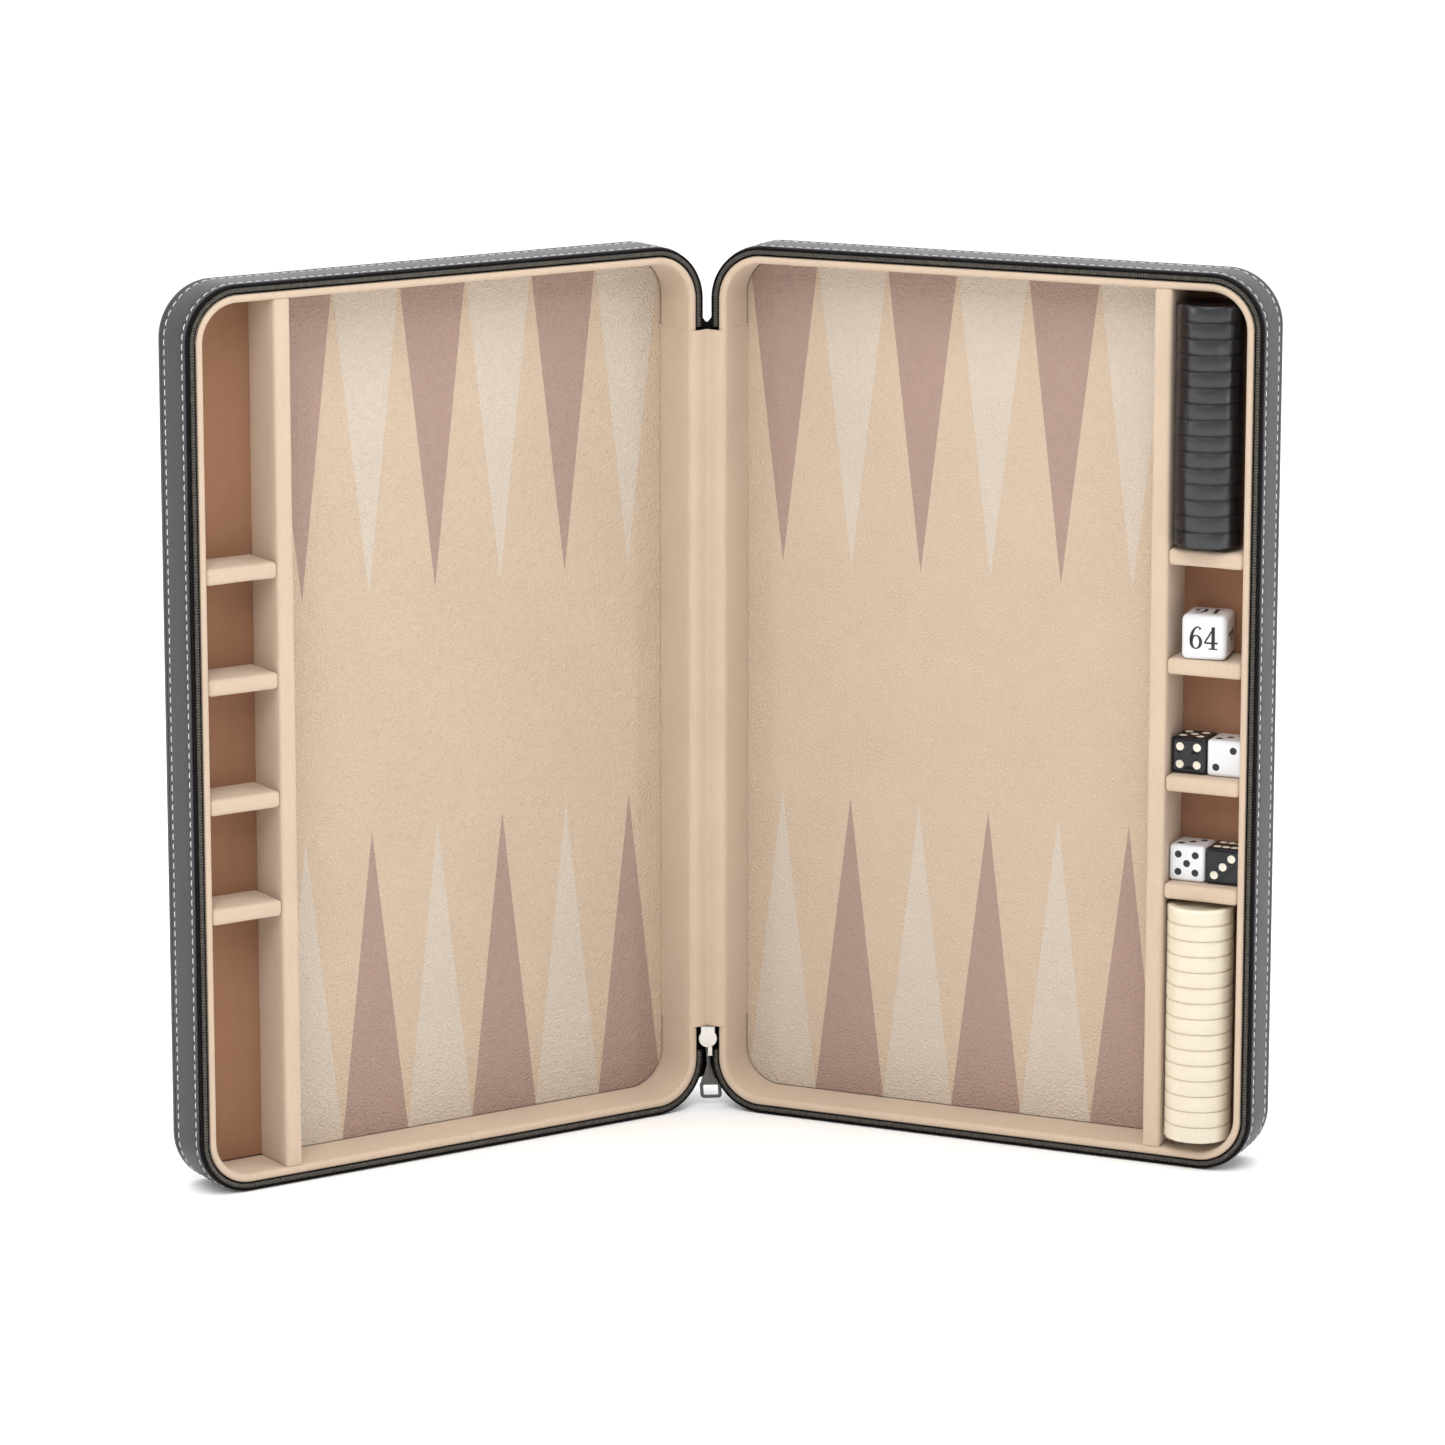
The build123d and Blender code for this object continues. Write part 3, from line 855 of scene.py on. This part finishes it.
def spine_stitch(z, n):
    """One upright stitch on the spine cover's outer face, in the right half."""
    surface = outer_face - 0.72
    verts = []
    for along, d, radius in stitch_rings:
        for side in range(stitch_sides):
            angle = 2 * math.pi * side / stitch_sides
            u = surface + d * 0.8 + radius * 0.8 * math.cos(angle)
            verts.append(world(u, n + radius * math.sin(angle), z + along * stitch_length))
    faces = grid_faces(len(stitch_rings), stitch_sides, False, True)
    faces.append(tuple(range(stitch_sides)))
    faces.append(tuple(range(len(verts) - stitch_sides, len(verts))))
    return verts, faces


cover_bottom, cover_top = cover_low.z / MM, cover_high.z / MM
spine_count = int((cover_top - cover_bottom - 4) // stitch_pitch)
both_halves("spine_stitching", joined(*[
    spine_stitch(cover_bottom + 2 + i * stitch_pitch, 20.8) for i in range(spine_count)
]), thread_finish, "case_leather", None, 80.0)


def web(z_of, pleat, name, rows=24, columns=20):
    """Black zip tape that closes the gap between the halves at one end of the zip.

    z_of(side, share) says how high the sheet reaches: side is 0 in the middle and 1 at the edge.
    pleat is how far its middle folds outwards.
    """
    verts = []
    for layer in (0, 1):
        for row in range(rows + 1):
            for column in range(columns + 1):
                side = 2 * column / columns - 1
                z = z_of(abs(side), row / rows)
                spot = world(side_near + corner_gap(z) + 2.6, 2.4, z) / MM
                y = spot.y + pleat * (1 - side * side) + 0.35 * layer
                verts.append(Vector((spot.x * side, y, z)) * MM)
    count = (rows + 1) * (columns + 1)
    faces = grid_faces(rows + 1, columns + 1, False, False)
    faces += [tuple(index + count for index in face) for face in faces]
    edge = [i for i in range(columns + 1)]
    edge += [row * (columns + 1) + columns for row in range(1, rows + 1)]
    edge += [rows * (columns + 1) + i for i in range(columns - 1, -1, -1)]
    edge += [row * (columns + 1) for row in range(rows - 1, 0, -1)]
    for first, second in zip(edge, edge[1:] + edge[:1]):
        faces.append((first, second, second + count, first + count))
    made = piece(name, verts, faces, tape_finish, 50.0)
    bend_at_hinge(made, "zip_tape")
    return made


def corner_gap(z):
    """How far a half's outer side stands back from its straight line at a height."""
    rise = max(corner - z, z - (height - corner), 0.0)
    return corner - math.sqrt(corner * corner - rise * rise)


def lower_web(side, share):
    bottom = 13.5 - 1.5 * side
    return bottom + (45.0 - bottom) * share


def upper_web(side, share):
    top = 355.5 + 8.0 * side ** 1.5
    return 349.0 + (top - 349.0) * share


lower_fold = 6.2
upper_fold = 0.5
zip_ends = [web(lower_web, lower_fold, "zip_end_tape"),
            web(upper_web, upper_fold, "zip_start_tape")]

# ---------------------------------------------------------------- slider and pull


def turned_plate(outline, y_range, rounding):
    """A flat metal part: an outline of (x, z), given thickness along Y and rounded edges."""
    shape = bmesh.new()
    face = shape.faces.new([shape.verts.new((x * MM, y_range[0] * MM, z * MM)) for x, z in outline])
    extruded = bmesh.ops.extrude_face_region(shape, geom=[face])
    for item in extruded["geom"]:
        if isinstance(item, bmesh.types.BMVert):
            item.co.y = y_range[1] * MM
    bmesh.ops.recalc_face_normals(shape, faces=shape.faces)
    rims = [edge for edge in shape.edges if edge.calc_face_angle(0.0) > math.radians(50)]
    bmesh.ops.bevel(shape, geom=rims, offset=rounding * MM, segments=3, affect="EDGES", profile=0.5)
    verts = [vertex.co.copy() for vertex in shape.verts]
    shape.verts.index_update()
    faces = [tuple(vertex.index for vertex in side.verts) for side in shape.faces]
    shape.free()
    return verts, faces


pin_z = joints["pull_swing"]["pos_m"][2] / MM
slider_low, slider_high = (corner_spot / MM for corner_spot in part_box("zip_slider"))
pull_low, pull_high = (corner_spot / MM for corner_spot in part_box("zip_pull"))
bridge_low, bridge_high = (corner_spot / MM for corner_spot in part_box("zip_bridge"))
bulb = slider_high.x
bulb_middle = slider_low.z + bulb
neck = 3.1
neck_z = bulb_middle + math.sqrt(bulb * bulb - neck * neck)
bulb_start = math.degrees(math.asin((neck_z - bulb_middle) / bulb))


def slider_outline():
    outline = arc((0, bulb_middle), bulb, 180 - bulb_start, 360 + bulb_start, 36)
    shoulder = [(neck + 0.06, neck_z + 0.5), (neck, neck_z + 1.2), (neck, slider_high.z)]
    return outline + shoulder + [(-x, z) for x, z in reversed(shoulder)]


inner_plate = 0.7
outer_plate = 0.8
inner_range = (slider_low.y, slider_low.y + inner_plate)
outer_range = (slider_high.y - outer_plate, slider_high.y)
core_outline = [(-0.8, bulb_middle), (0.8, bulb_middle), (0.8, slider_high.z - 0.6),
                (-0.8, slider_high.z - 0.6)]
nose_outline = [(-0.1, slider_low.z - 4.0), (2.0, slider_low.z - 4.0), (1.9, slider_low.z + 1.0),
                (0.1, slider_low.z + 1.0)]
slider_shape = joined(
    turned_plate(slider_outline(), inner_range, 0.22),
    turned_plate(slider_outline(), outer_range, 0.25),
    turned_plate(core_outline, (inner_range[1] - 0.1, outer_range[0] + 0.1), 0.1),
    turned_plate(nose_outline, (inner_range[1] - 0.3, inner_range[1] + 0.4), 0.15),
)
settle(piece("slider_body", *slider_shape, nickel_finish, 40.0), "zip_slider", "nickel",
       "zip_slider")

bridge_points = [(bridge_low.y - 0.3, bridge_low.z), (bridge_low.y + 1.6, bridge_low.z + 0.7),
                 (bridge_high.y - 0.5, bridge_low.z + 2.0), (bridge_high.y - 0.4, pin_z),
                 (bridge_high.y - 0.5, bridge_high.z - 2.0),
                 (bridge_low.y + 1.6, bridge_high.z - 0.7), (bridge_low.y - 0.3, bridge_high.z)]


def wire(points, x, half_width, half_height, closed=False):
    """A flattened wire that follows points of (y, z)."""
    verts = []
    sides = 10
    for index, (y, z) in enumerate(points):
        before = points[index - 1] if index or closed else points[0]
        after = points[(index + 1) % len(points)] if index < len(points) - 1 or closed else points[-1]
        course = Vector((after[0] - before[0], after[1] - before[1])).normalized()
        for side in range(sides):
            angle = 2 * math.pi * side / sides
            out = half_height * math.sin(angle)
            verts.append(Vector((x + half_width * math.cos(angle), y - course.y * out,
                                 z + course.x * out)) * MM)
    faces = grid_faces(len(points), sides, closed, True)
    if not closed:
        faces.append(tuple(range(sides)))
        faces.append(tuple(range(len(verts) - sides, len(verts))))
    return verts, faces


def smooth_line(points, steps=6):
    """A curve through the points."""
    line = []
    for i in range(len(points) - 1):
        p0, p1 = points[max(i - 1, 0)], points[i]
        p2, p3 = points[i + 1], points[min(i + 2, len(points) - 1)]
        for step in range(steps):
            s = step / steps
            line.append(tuple(
                0.5 * (2 * b + (c - a) * s + (2 * a - 5 * b + 4 * c - d) * s * s
                       + (3 * b - a - 3 * c + d) * s * s * s)
                for a, b, c, d in zip(p0, p1, p2, p3)
            ))
    return line + [points[-1]]


bridge_shape = wire(smooth_line(bridge_points), 0.0, 0.45, 0.5)
settle(piece("slider_bridge", *bridge_shape, nickel_finish, 40.0), "zip_slider", "nickel",
       "zip_bridge")

pull_middle = (pull_low.y + pull_high.y) / 2
pull_half = 0.6
pull_range = (pull_middle - pull_half, pull_middle + pull_half)
frame_top = 10.8
pull_side = pull_high.x
border = 1.5


def rounded_box(x_range, z_range, radius, steps=5):
    """Corner-rounded rectangle of (x, z), anticlockwise from the lower left."""
    (x0, x1), (z0, z1) = x_range, z_range
    return [
        *arc((x0 + radius, z0 + radius), radius, 180, 270, steps),
        *arc((x1 - radius, z0 + radius), radius, 270, 360, steps),
        *arc((x1 - radius, z1 - radius), radius, 0, 90, steps),
        *arc((x0 + radius, z1 - radius), radius, 90, 180, steps),
    ]


def open_frame(outer, inner, y_range, rounding):
    """A flat frame: two outlines with the same number of points, rounded where they turn."""
    rings = []
    for outline, toward in ((outer, -1), (inner, 1)):
        centre = (sum(x for x, _ in outline) / len(outline), sum(z for _, z in outline) / len(outline))
        eased = []
        for x, z in outline:
            away = Vector((x - centre[0], z - centre[1])).normalized() * rounding * toward
            eased.append((x + away.x, z + away.y))
        rings.append((outline, eased))
    low, high = y_range
    (outer_full, outer_eased), (inner_full, inner_eased) = rings
    layers = [(outer_full, low + rounding), (outer_full, high - rounding), (outer_eased, high),
              (inner_eased, high), (inner_full, high - rounding), (inner_full, low + rounding),
              (inner_eased, low), (outer_eased, low)]
    verts = [Vector((x, y, z)) * MM for outline, y in layers for x, z in outline]
    return verts, grid_faces(len(layers), len(outer), True, True)


frame_shape = open_frame(
    rounded_box((-pull_side, pull_side), (pull_low.z, frame_top), 1.6),
    rounded_box((border - pull_side, pull_side - border),
                (pull_low.z + border, frame_top - border), 0.5),
    pull_range, 0.28)
stem = 1.05
shoulder_z = 19.0
fork_z = 26.0
flare = 4.3
tab_outline = [(-flare, frame_top - 0.7), (flare, frame_top - 0.7), (flare - 0.3, frame_top + 0.6),
               (2.3, 15.4), (stem, shoulder_z), (stem, fork_z), (-stem, fork_z),
               (-stem, shoulder_z), (-2.3, 15.4), (0.3 - flare, frame_top + 0.6)]
tab_shape = turned_plate(tab_outline, pull_range, 0.25)
ridge_shape = turned_plate([(-0.25, frame_top + 0.8), (0.25, frame_top + 0.8), (0.25, fork_z - 1.0),
                            (-0.25, fork_z - 1.0)], (pull_range[0] - 0.22, pull_range[0] + 0.3),
                           0.15)
leg_x = 0.825
leg_shapes = [
    turned_plate([(side * leg_x - 0.22, fork_z - 0.5), (side * leg_x + 0.22, fork_z - 0.5),
                  (side * leg_x + 0.22, pull_high.z - 0.1), (side * leg_x - 0.22, pull_high.z - 0.1)],
                 pull_range, 0.08)
    for side in (-1, 1)
]
pin_ring = arc((pull_middle, pin_z), 0.42, 0, 330, 11)
pin_verts = [Vector((x, y, z)) * MM for x in (-1.0, 1.0) for y, z in pin_ring]
pin_faces = grid_faces(2, 12, False, True) + [tuple(range(12)), tuple(range(12, 24))]
pull_verts, pull_faces = joined(frame_shape, tab_shape, ridge_shape, *leg_shapes,
                                (pin_verts, pin_faces))
pin_spot = Vector((0, pull_middle, pin_z)) * MM
pull_shift = 2.1                           # sideways, at the pull's lower end
pull_lean = pull_shift / (pin_z - pull_low.z)
leaning = [Vector(spot) for spot in pull_verts]
for spot in leaning:
    spot.x += pull_lean * (pin_spot.z - spot.z)
pull_shape = (leaning, pull_faces)
settle(piece("pull_tab", *pull_shape, gunmetal_finish, 40.0), "zip_pull", "gunmetal", "zip_pull")

# ---------------------------------------------------------------- checkers and their film


def lathe(middle, profile, sides=72):
    """A turned shape: (radius, height) points round an upright axis, closed at both ends."""
    verts = []
    for radius, z in profile:
        for side in range(sides):
            angle = 2 * math.pi * side / sides
            verts.append(Vector((middle.x + radius * math.cos(angle) * MM,
                                 middle.y + radius * math.sin(angle) * MM, z * MM)))
    faces = grid_faces(len(profile), sides, False, True)
    faces.append(tuple(range(sides)))
    faces.append(tuple(range(len(verts) - sides, len(verts))))
    return verts, faces


def checker_profile(low, high):
    """Half section of a checker: a recessed face, a round border and a softly rounded side."""
    edge = (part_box("black_checker_01")[1].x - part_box("black_checker_01")[0].x) / MM / 2
    soft = 1.1
    lower = [(edge - 3.9, low + 0.42), (edge - 3.5, low + 0.34), (edge - 3.2, low + 0.06)]
    lower += arc((edge - soft, low + soft), soft, -90, 0, 7)
    upper = [(radius, low + high - z) for radius, z in reversed(lower)]
    return lower + upper


for colour, finish in (("black", black_finish), ("cream", cream_finish)):
    for number in range(1, 16):
        node = f"{colour}_checker_{number:02d}"
        low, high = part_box(node)
        middle = (low + high) / 2
        shape = lathe(middle, checker_profile(low.z / MM, high.z / MM))
        made = piece(f"{node}_turned", *shape, finish, 40.0)
        settle(made, f"{colour}_stack", f"{colour}_acrylic", node)

film_sides = 120


def film_sleeve(node):
    """Shrink film round a stack: tight on the checkers, puckered, gathered over both ends."""
    low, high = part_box(node)
    middle = (low + high) / 2
    radius = (high.x - low.x) / MM / 2 - 0.08
    bottom, top = low.z / MM, high.z / MM
    checker_rise = (top - bottom - 0.5) / 15
    rows = []
    levels = 150
    for i in range(levels + 1):
        z = bottom + 0.25 + (top - bottom - 0.5) * i / levels
        rows.append((z, radius))
    start = [(bottom + 0.02, radius * share) for share in (0.35, 0.6, 0.8, 0.93)]
    end = [(top - 0.02, radius * share) for share in (0.93, 0.8, 0.6, 0.35)]
    rows = start + rows + end
    verts = []
    for z, reach in rows:
        for side in range(film_sides):
            angle = 2 * math.pi * side / film_sides
            spot = Vector((math.cos(angle) * 2.2, math.sin(angle) * 2.2, z * 0.045))
            ripple = noise.noise(spot) * 0.30 + noise.noise(spot * 2.7) * 0.14
            pleat = noise.noise(Vector((math.cos(angle) * 6, math.sin(angle) * 6, z * 0.02)))
            near_end = max(0.0, 1 - (z - bottom) / 14, 1 - (top - z) / 14)
            groove = 0.5 + 0.5 * math.cos(2 * math.pi * (z - bottom - 0.25) / checker_rise)
            crease = noise.noise(Vector((math.cos(angle) * 9, math.sin(angle) * 9, z * 0.09)))
            r = reach + 0.14 + ripple * 0.5 + pleat * (0.16 + 0.45 * near_end) - 0.10 * groove
            r += 0.10 * abs(crease)
            drop = 0.0
            if reach < radius * 0.99:
                drop = (noise.noise(spot * 3.0) * 0.5 + pleat * 0.6) * (1 if z > bottom + 5 else -1)
                r = reach + pleat * 0.8
            verts.append(Vector((middle.x + r * math.cos(angle) * MM,
                                 middle.y + r * math.sin(angle) * MM, (z + drop * 0.4) * MM)))
    faces = grid_faces(len(rows), film_sides, False, True)
    return verts, faces


for colour in ("black", "cream"):
    node = f"{colour}_stack_wrap"
    made = piece(f"{colour}_film", *film_sleeve(node), film_material, 180.0)
    settle(made, f"{colour}_stack", "clear_film", node)

# ---------------------------------------------------------------- dice and doubling cube

pip_places = {
    1: [(0, 0)],
    2: [(-1, -1), (1, 1)],
    3: [(-1, -1), (0, 0), (1, 1)],
    4: [(-1, -1), (-1, 1), (1, -1), (1, 1)],
    5: [(-1, -1), (-1, 1), (0, 0), (1, -1), (1, 1)],
    6: [(-1, -1), (0, -1), (1, -1), (-1, 1), (0, 1), (1, 1)],
}


def cube_frame(node, turn):
    """The centre of a cube, and its directions right, back and up."""
    low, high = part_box(node)
    angle = turn - lean
    right = Vector((math.cos(angle), math.sin(angle), 0))
    back = Vector((-math.sin(angle), math.cos(angle), 0))
    return (low + high) / 2, right, back, Vector((0, 0, 1))


def cube_faces(right, back, up):
    """For each face: its direction outwards, and its own right and up as seen from outside."""
    return {
        "front": (-back, right, up), "back": (back, -right, up),
        "right": (right, back, up), "left": (-right, -back, up),
        "top": (up, right, back), "bottom": (-up, right, -back),
    }


def rounded_cube(name, size, rounding, centre, axes, finishes):
    shape = bmesh.new()
    bmesh.ops.create_cube(shape, size=size * MM)
    bmesh.ops.bevel(shape, geom=shape.edges[:], offset=rounding * MM, segments=6, affect="EDGES",
                    profile=0.5)
    turn = Matrix((axes[0], axes[1], axes[2])).transposed()
    verts = [centre + turn @ vertex.co for vertex in shape.verts]
    shape.verts.index_update()
    faces = [tuple(vertex.index for vertex in face.verts) for face in shape.faces]
    shape.free()
    return piece(name, verts, faces, finishes, 30.0)


def dish(spot, out, right, up, radius, depth):
    """A cutter with the shape of a shallow dish, its mouth a little above the surface."""
    ball = (radius * radius + depth * depth) / (2 * depth)
    sides = 32
    rings = 7
    verts = [(spot - out * depth * MM)]
    reach = radius * 1.12
    for ring_number in range(1, rings + 1):
        r = reach * ring_number / rings
        fall = ball - math.sqrt(ball * ball - r * r)
        for side in range(sides):
            angle = 2 * math.pi * side / sides
            flat = right * math.cos(angle) + up * math.sin(angle)
            verts.append(spot + (flat * r + out * (fall - depth)) * MM)
    faces = [(0, 1 + side, 1 + (side + 1) % sides) for side in range(sides)]
    faces += grid_faces(rings, sides, False, True, 1)
    faces.append(tuple(range(1 + (rings - 1) * sides, 1 + rings * sides)))
    return verts, faces


def carve(body, cutter):
    """Cuts one piece from another. The hollows keep the cutter's finish."""
    cut = body.modifiers.new("hollows", "BOOLEAN")
    cut.operation = "DIFFERENCE"
    cut.solver = "EXACT"
    cut.material_mode = "TRANSFER"
    cut.object = cutter
    graph = bpy.context.evaluated_depsgraph_get()
    body.data = bpy.data.meshes.new_from_object(body.evaluated_get(graph))
    body.modifiers.clear()
    bpy.data.objects.remove(cutter)
    body.data.shade_smooth()
    body.data.set_sharp_from_angle(angle=math.radians(28))


die_faces = {
    "black_die_upper": {"front": 4, "back": 3, "top": 5, "bottom": 2, "right": 6, "left": 1},
    "white_die_upper": {"front": 2, "back": 5, "top": 3, "bottom": 4, "right": 6, "left": 1},
    "white_die_lower": {"front": 5, "back": 2, "top": 3, "bottom": 4, "right": 1, "left": 6},
    "black_die_lower": {"front": 3, "back": 4, "top": 6, "bottom": 1, "right": 5, "left": 2},
}
die_size = 16.0
pip_step = 3.85
for node, numbers in die_faces.items():
    black = node.startswith("black")
    body_finish = black_die_finish if black else white_die_finish
    pip_finish = inlay_finish if black else ink_finish
    centre, right, back, up = cube_frame(node, 0.0)
    made = rounded_cube(f"{node}_body", die_size - 0.04, 1.5, centre, (right, back, up), body_finish)
    dishes = []
    for face, (out, face_right, face_up) in cube_faces(right, back, up).items():
        middle = centre + out * (die_size / 2 - 0.02) * MM
        for across_step, up_step in pip_places[numbers[face]]:
            spot = middle + (face_right * across_step + face_up * up_step) * pip_step * MM
            dishes.append(dish(spot, out, face_right, face_up, 1.78 if black else 1.6, 0.42))
    cutter = piece(f"{node}_hollows", *joined(*dishes), pip_finish)
    carve(made, cutter)
    settle(made, node, "black_dice" if black else "white_dice", node)


def bowl(x, z, rx, rz, thick, thin, start=0.0, end=360.0):
    """A round stroke, heavy at its sides and light at its top and bottom."""
    outer = arc((0, 0), 1.0, start, end, 28)
    verts = [(x + rx * cx, z + rz * cz) for cx, cz in outer]
    verts += [(x + (rx - thick) * cx, z + (rz - thin) * cz) for cx, cz in outer]
    count = len(outer)
    return verts, [(i, i + 1, count + i + 1, count + i) for i in range(count - 1)]


def bar(x0, z0, x1, z1, w0, w1=None):
    """A straight stroke with a width at each end."""
    w1 = w0 if w1 is None else w1
    course = Vector((x1 - x0, z1 - z0)).normalized()
    side = Vector((-course.y, course.x))
    ends = [(Vector((x0, z0)), w0), (Vector((x1, z1)), w1)]
    (a, wa), (b, wb) = ends
    spots = [a - side * wa / 2, b - side * wb / 2, b + side * wb / 2, a + side * wa / 2]
    return [tuple(spot) for spot in spots], [(0, 1, 2, 3)]


def ribbon(points):
    """A curved stroke through (x, z, width) points."""
    line = smooth_line(points, 8)
    verts = []
    for index, (x, z, width) in enumerate(line):
        before, after = line[max(index - 1, 0)], line[min(index + 1, len(line) - 1)]
        course = Vector((after[0] - before[0], after[1] - before[1])).normalized()
        verts.append((x - course.y * width / 2, z + course.x * width / 2))
        verts.append((x + course.y * width / 2, z - course.x * width / 2))
    faces = [(2 * i, 2 * i + 1, 2 * i + 3, 2 * i + 2) for i in range(len(line) - 1)]
    return verts, faces


digits = {
    "1": joined(bar(0.28, 0.02, 0.28, 0.98, 0.17), bar(0.06, 0.03, 0.50, 0.03, 0.06),
                ribbon([(0.05, 0.82, 0.05), (0.16, 0.86, 0.08), (0.28, 0.97, 0.06)])),
    "2": joined(ribbon([(0.07, 0.74, 0.15), (0.12, 0.91, 0.10), (0.28, 0.97, 0.07),
                        (0.45, 0.85, 0.16), (0.43, 0.63, 0.16), (0.27, 0.36, 0.11),
                        (0.06, 0.07, 0.07)]),
                bar(0.03, 0.065, 0.52, 0.065, 0.13), bar(0.48, 0.03, 0.56, 0.26, 0.08, 0.05)),
    "3": joined(ribbon([(0.07, 0.79, 0.13), (0.15, 0.93, 0.08), (0.31, 0.97, 0.07),
                        (0.43, 0.81, 0.15), (0.36, 0.60, 0.11), (0.20, 0.53, 0.06)]),
                ribbon([(0.20, 0.53, 0.06), (0.40, 0.49, 0.10), (0.48, 0.29, 0.17),
                        (0.40, 0.08, 0.12), (0.20, 0.03, 0.07), (0.07, 0.14, 0.13)])),
    "4": joined(bar(0.39, 0.03, 0.39, 1.0, 0.155), bar(0.42, 0.97, 0.03, 0.32, 0.075),
                bar(0.0, 0.29, 0.60, 0.29, 0.08), bar(0.20, 0.03, 0.58, 0.03, 0.06)),
    "6": joined(bowl(0.29, 0.31, 0.28, 0.315, 0.145, 0.06),
                ribbon([(0.49, 0.87, 0.12), (0.42, 0.95, 0.07), (0.30, 0.96, 0.07),
                        (0.16, 0.78, 0.12), (0.085, 0.52, 0.145), (0.085, 0.30, 0.145)])),
    "8": joined(bowl(0.29, 0.26, 0.27, 0.265, 0.13, 0.06), bowl(0.29, 0.75, 0.23, 0.24, 0.115, 0.06)),
}
digit_advance = 0.66
cube_size = (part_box("doubling_cube")[1].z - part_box("doubling_cube")[0].z) / MM
numeral_height = 9.8


def numeral(text, middle, out, right, up, size):
    """A number printed on a face: flat strokes a hair above the surface."""
    width = digit_advance * len(text) - 0.08
    verts = []
    faces = []
    print_height = 0.03 * MM
    for place, figure in enumerate(text):
        spots, sides = digits[figure]
        for lift in (-0.05 * MM, print_height):
            first = len(verts)
            for x, z in spots:
                across_face = (x + place * digit_advance - width / 2) * size * MM
                verts.append(middle + right * across_face + up * (z - 0.5) * size * MM + out * lift)
            faces += [tuple(first + index for index in side) for side in sides]
    return verts, faces


cube_turn = math.radians(6.7)
cube_middle, cube_right, cube_back, cube_up = cube_frame("doubling_cube", cube_turn)
cube = rounded_cube("doubling_cube_body", cube_size - 0.04, 2.6, cube_middle,
                    (cube_right, cube_back, cube_up), white_die_finish)
settle(cube, "doubling_cube", "white_dice", "doubling_cube")
cube_sides = cube_faces(cube_right, cube_back, cube_up)
numbers_on_cube = {"front": ("64", 0), "top": ("16", 180), "right": ("4", 90),
                   "back": ("2", 0), "left": ("32", 270), "bottom": ("8", 0)}
prints = []
for face, (text, turn) in numbers_on_cube.items():
    out, face_right, face_up = cube_sides[face]
    spin = Matrix.Rotation(math.radians(turn), 3, out)
    middle = cube_middle + out * (cube_size / 2 - 0.02) * MM
    prints.append(numeral(text, middle, out, spin @ face_right, spin @ face_up, numeral_height))
numerals = piece("doubling_cube_numerals", *joined(*prints), ink_finish, 30.0)
settle(numerals, "doubling_cube", "white_dice")

# ---------------------------------------------------------------- floor, light and camera


def stage_floor():
    finish = Finish("white_sweep", Specular_IOR_Level=0.0)
    faint = finish.cloud(0.8, 2.0)
    finish.set(Base_Color=finish.mix(faint, (0.93, 0.93, 0.93), (0.95, 0.95, 0.95)),
               Roughness=0.95)
    size = 40.0
    floor = piece("studio_floor", [(-size, -size, 0), (size, -size, 0), (size, size, 0),
                                   (-size, size, 0)], [(0, 1, 2, 3)], finish.material)


def lamp(name, kind, place, target, power, **settings):
    light = bpy.data.lights.new(name, kind)
    light.energy = power
    for setting, value in settings.items():
        setattr(light, setting, value)
    made = bpy.data.objects.new(name, light)
    bpy.context.scene.collection.objects.link(made)
    made.location = place
    made.rotation_euler = (Vector(target) - Vector(place)).to_track_quat("-Z", "Y").to_euler()


def studio():
    """A bright wall behind, a darker room in front, softboxes at the left and right, one above."""
    surroundings = bpy.data.worlds.new("white_studio")
    bpy.context.scene.world = surroundings
    surroundings.use_nodes = True
    nodes = surroundings.node_tree.nodes
    links = surroundings.node_tree.links
    direction = nodes.new("ShaderNodeTexCoord")
    parts = nodes.new("ShaderNodeSeparateXYZ")
    ramp = nodes.new("ShaderNodeValToRGB")
    links.new(direction.outputs["Generated"], parts.inputs[0])
    links.new(parts.outputs["Y"], ramp.inputs[0])
    links.new(ramp.outputs[0], nodes["Background"].inputs["Color"])
    set_ramp(ramp.color_ramp, [(0.0, (0.13, 0.13, 0.13)), (0.6, (1.0, 1.0, 1.0))])
    nodes["Background"].inputs["Strength"].default_value = 1.75
    aim = (0.0, 0.0, 0.2)
    lamp("overhead_light", "SUN", (0.0, -0.5, 3.0), aim, 1.6, angle=math.radians(70))
    key = {"shape": "RECTANGLE", "size": 1.1, "size_y": 1.4}
    side = {"shape": "RECTANGLE", "size": 1.5, "size_y": 1.6}
    lamp("key_softbox", "AREA", (-0.30, -1.60, 1.75), aim, 25.0, **key)
    lamp("left_softbox", "AREA", (-2.3, -0.75, 1.0), aim, 22.0, **side)
    lamp("right_softbox", "AREA", (2.3, -0.75, 1.0), aim, 30.0, **side)


def camera():
    lens = bpy.data.cameras.new("camera")
    lens.sensor_width = 36.0
    lens.lens = 142.2
    lens.shift_y = -0.1003
    lens.clip_end = 200.0
    made = bpy.data.objects.new("camera", lens)
    bpy.context.scene.collection.objects.link(made)
    made.location = (-0.1870, -2.4081, 0.7261)
    made.rotation_euler = (math.pi / 2 - 0.1940, 0.0, -0.0787)
    bpy.context.scene.camera = made


stage_floor()
studio()
camera()
bpy.context.scene.view_settings.view_transform = "Standard"
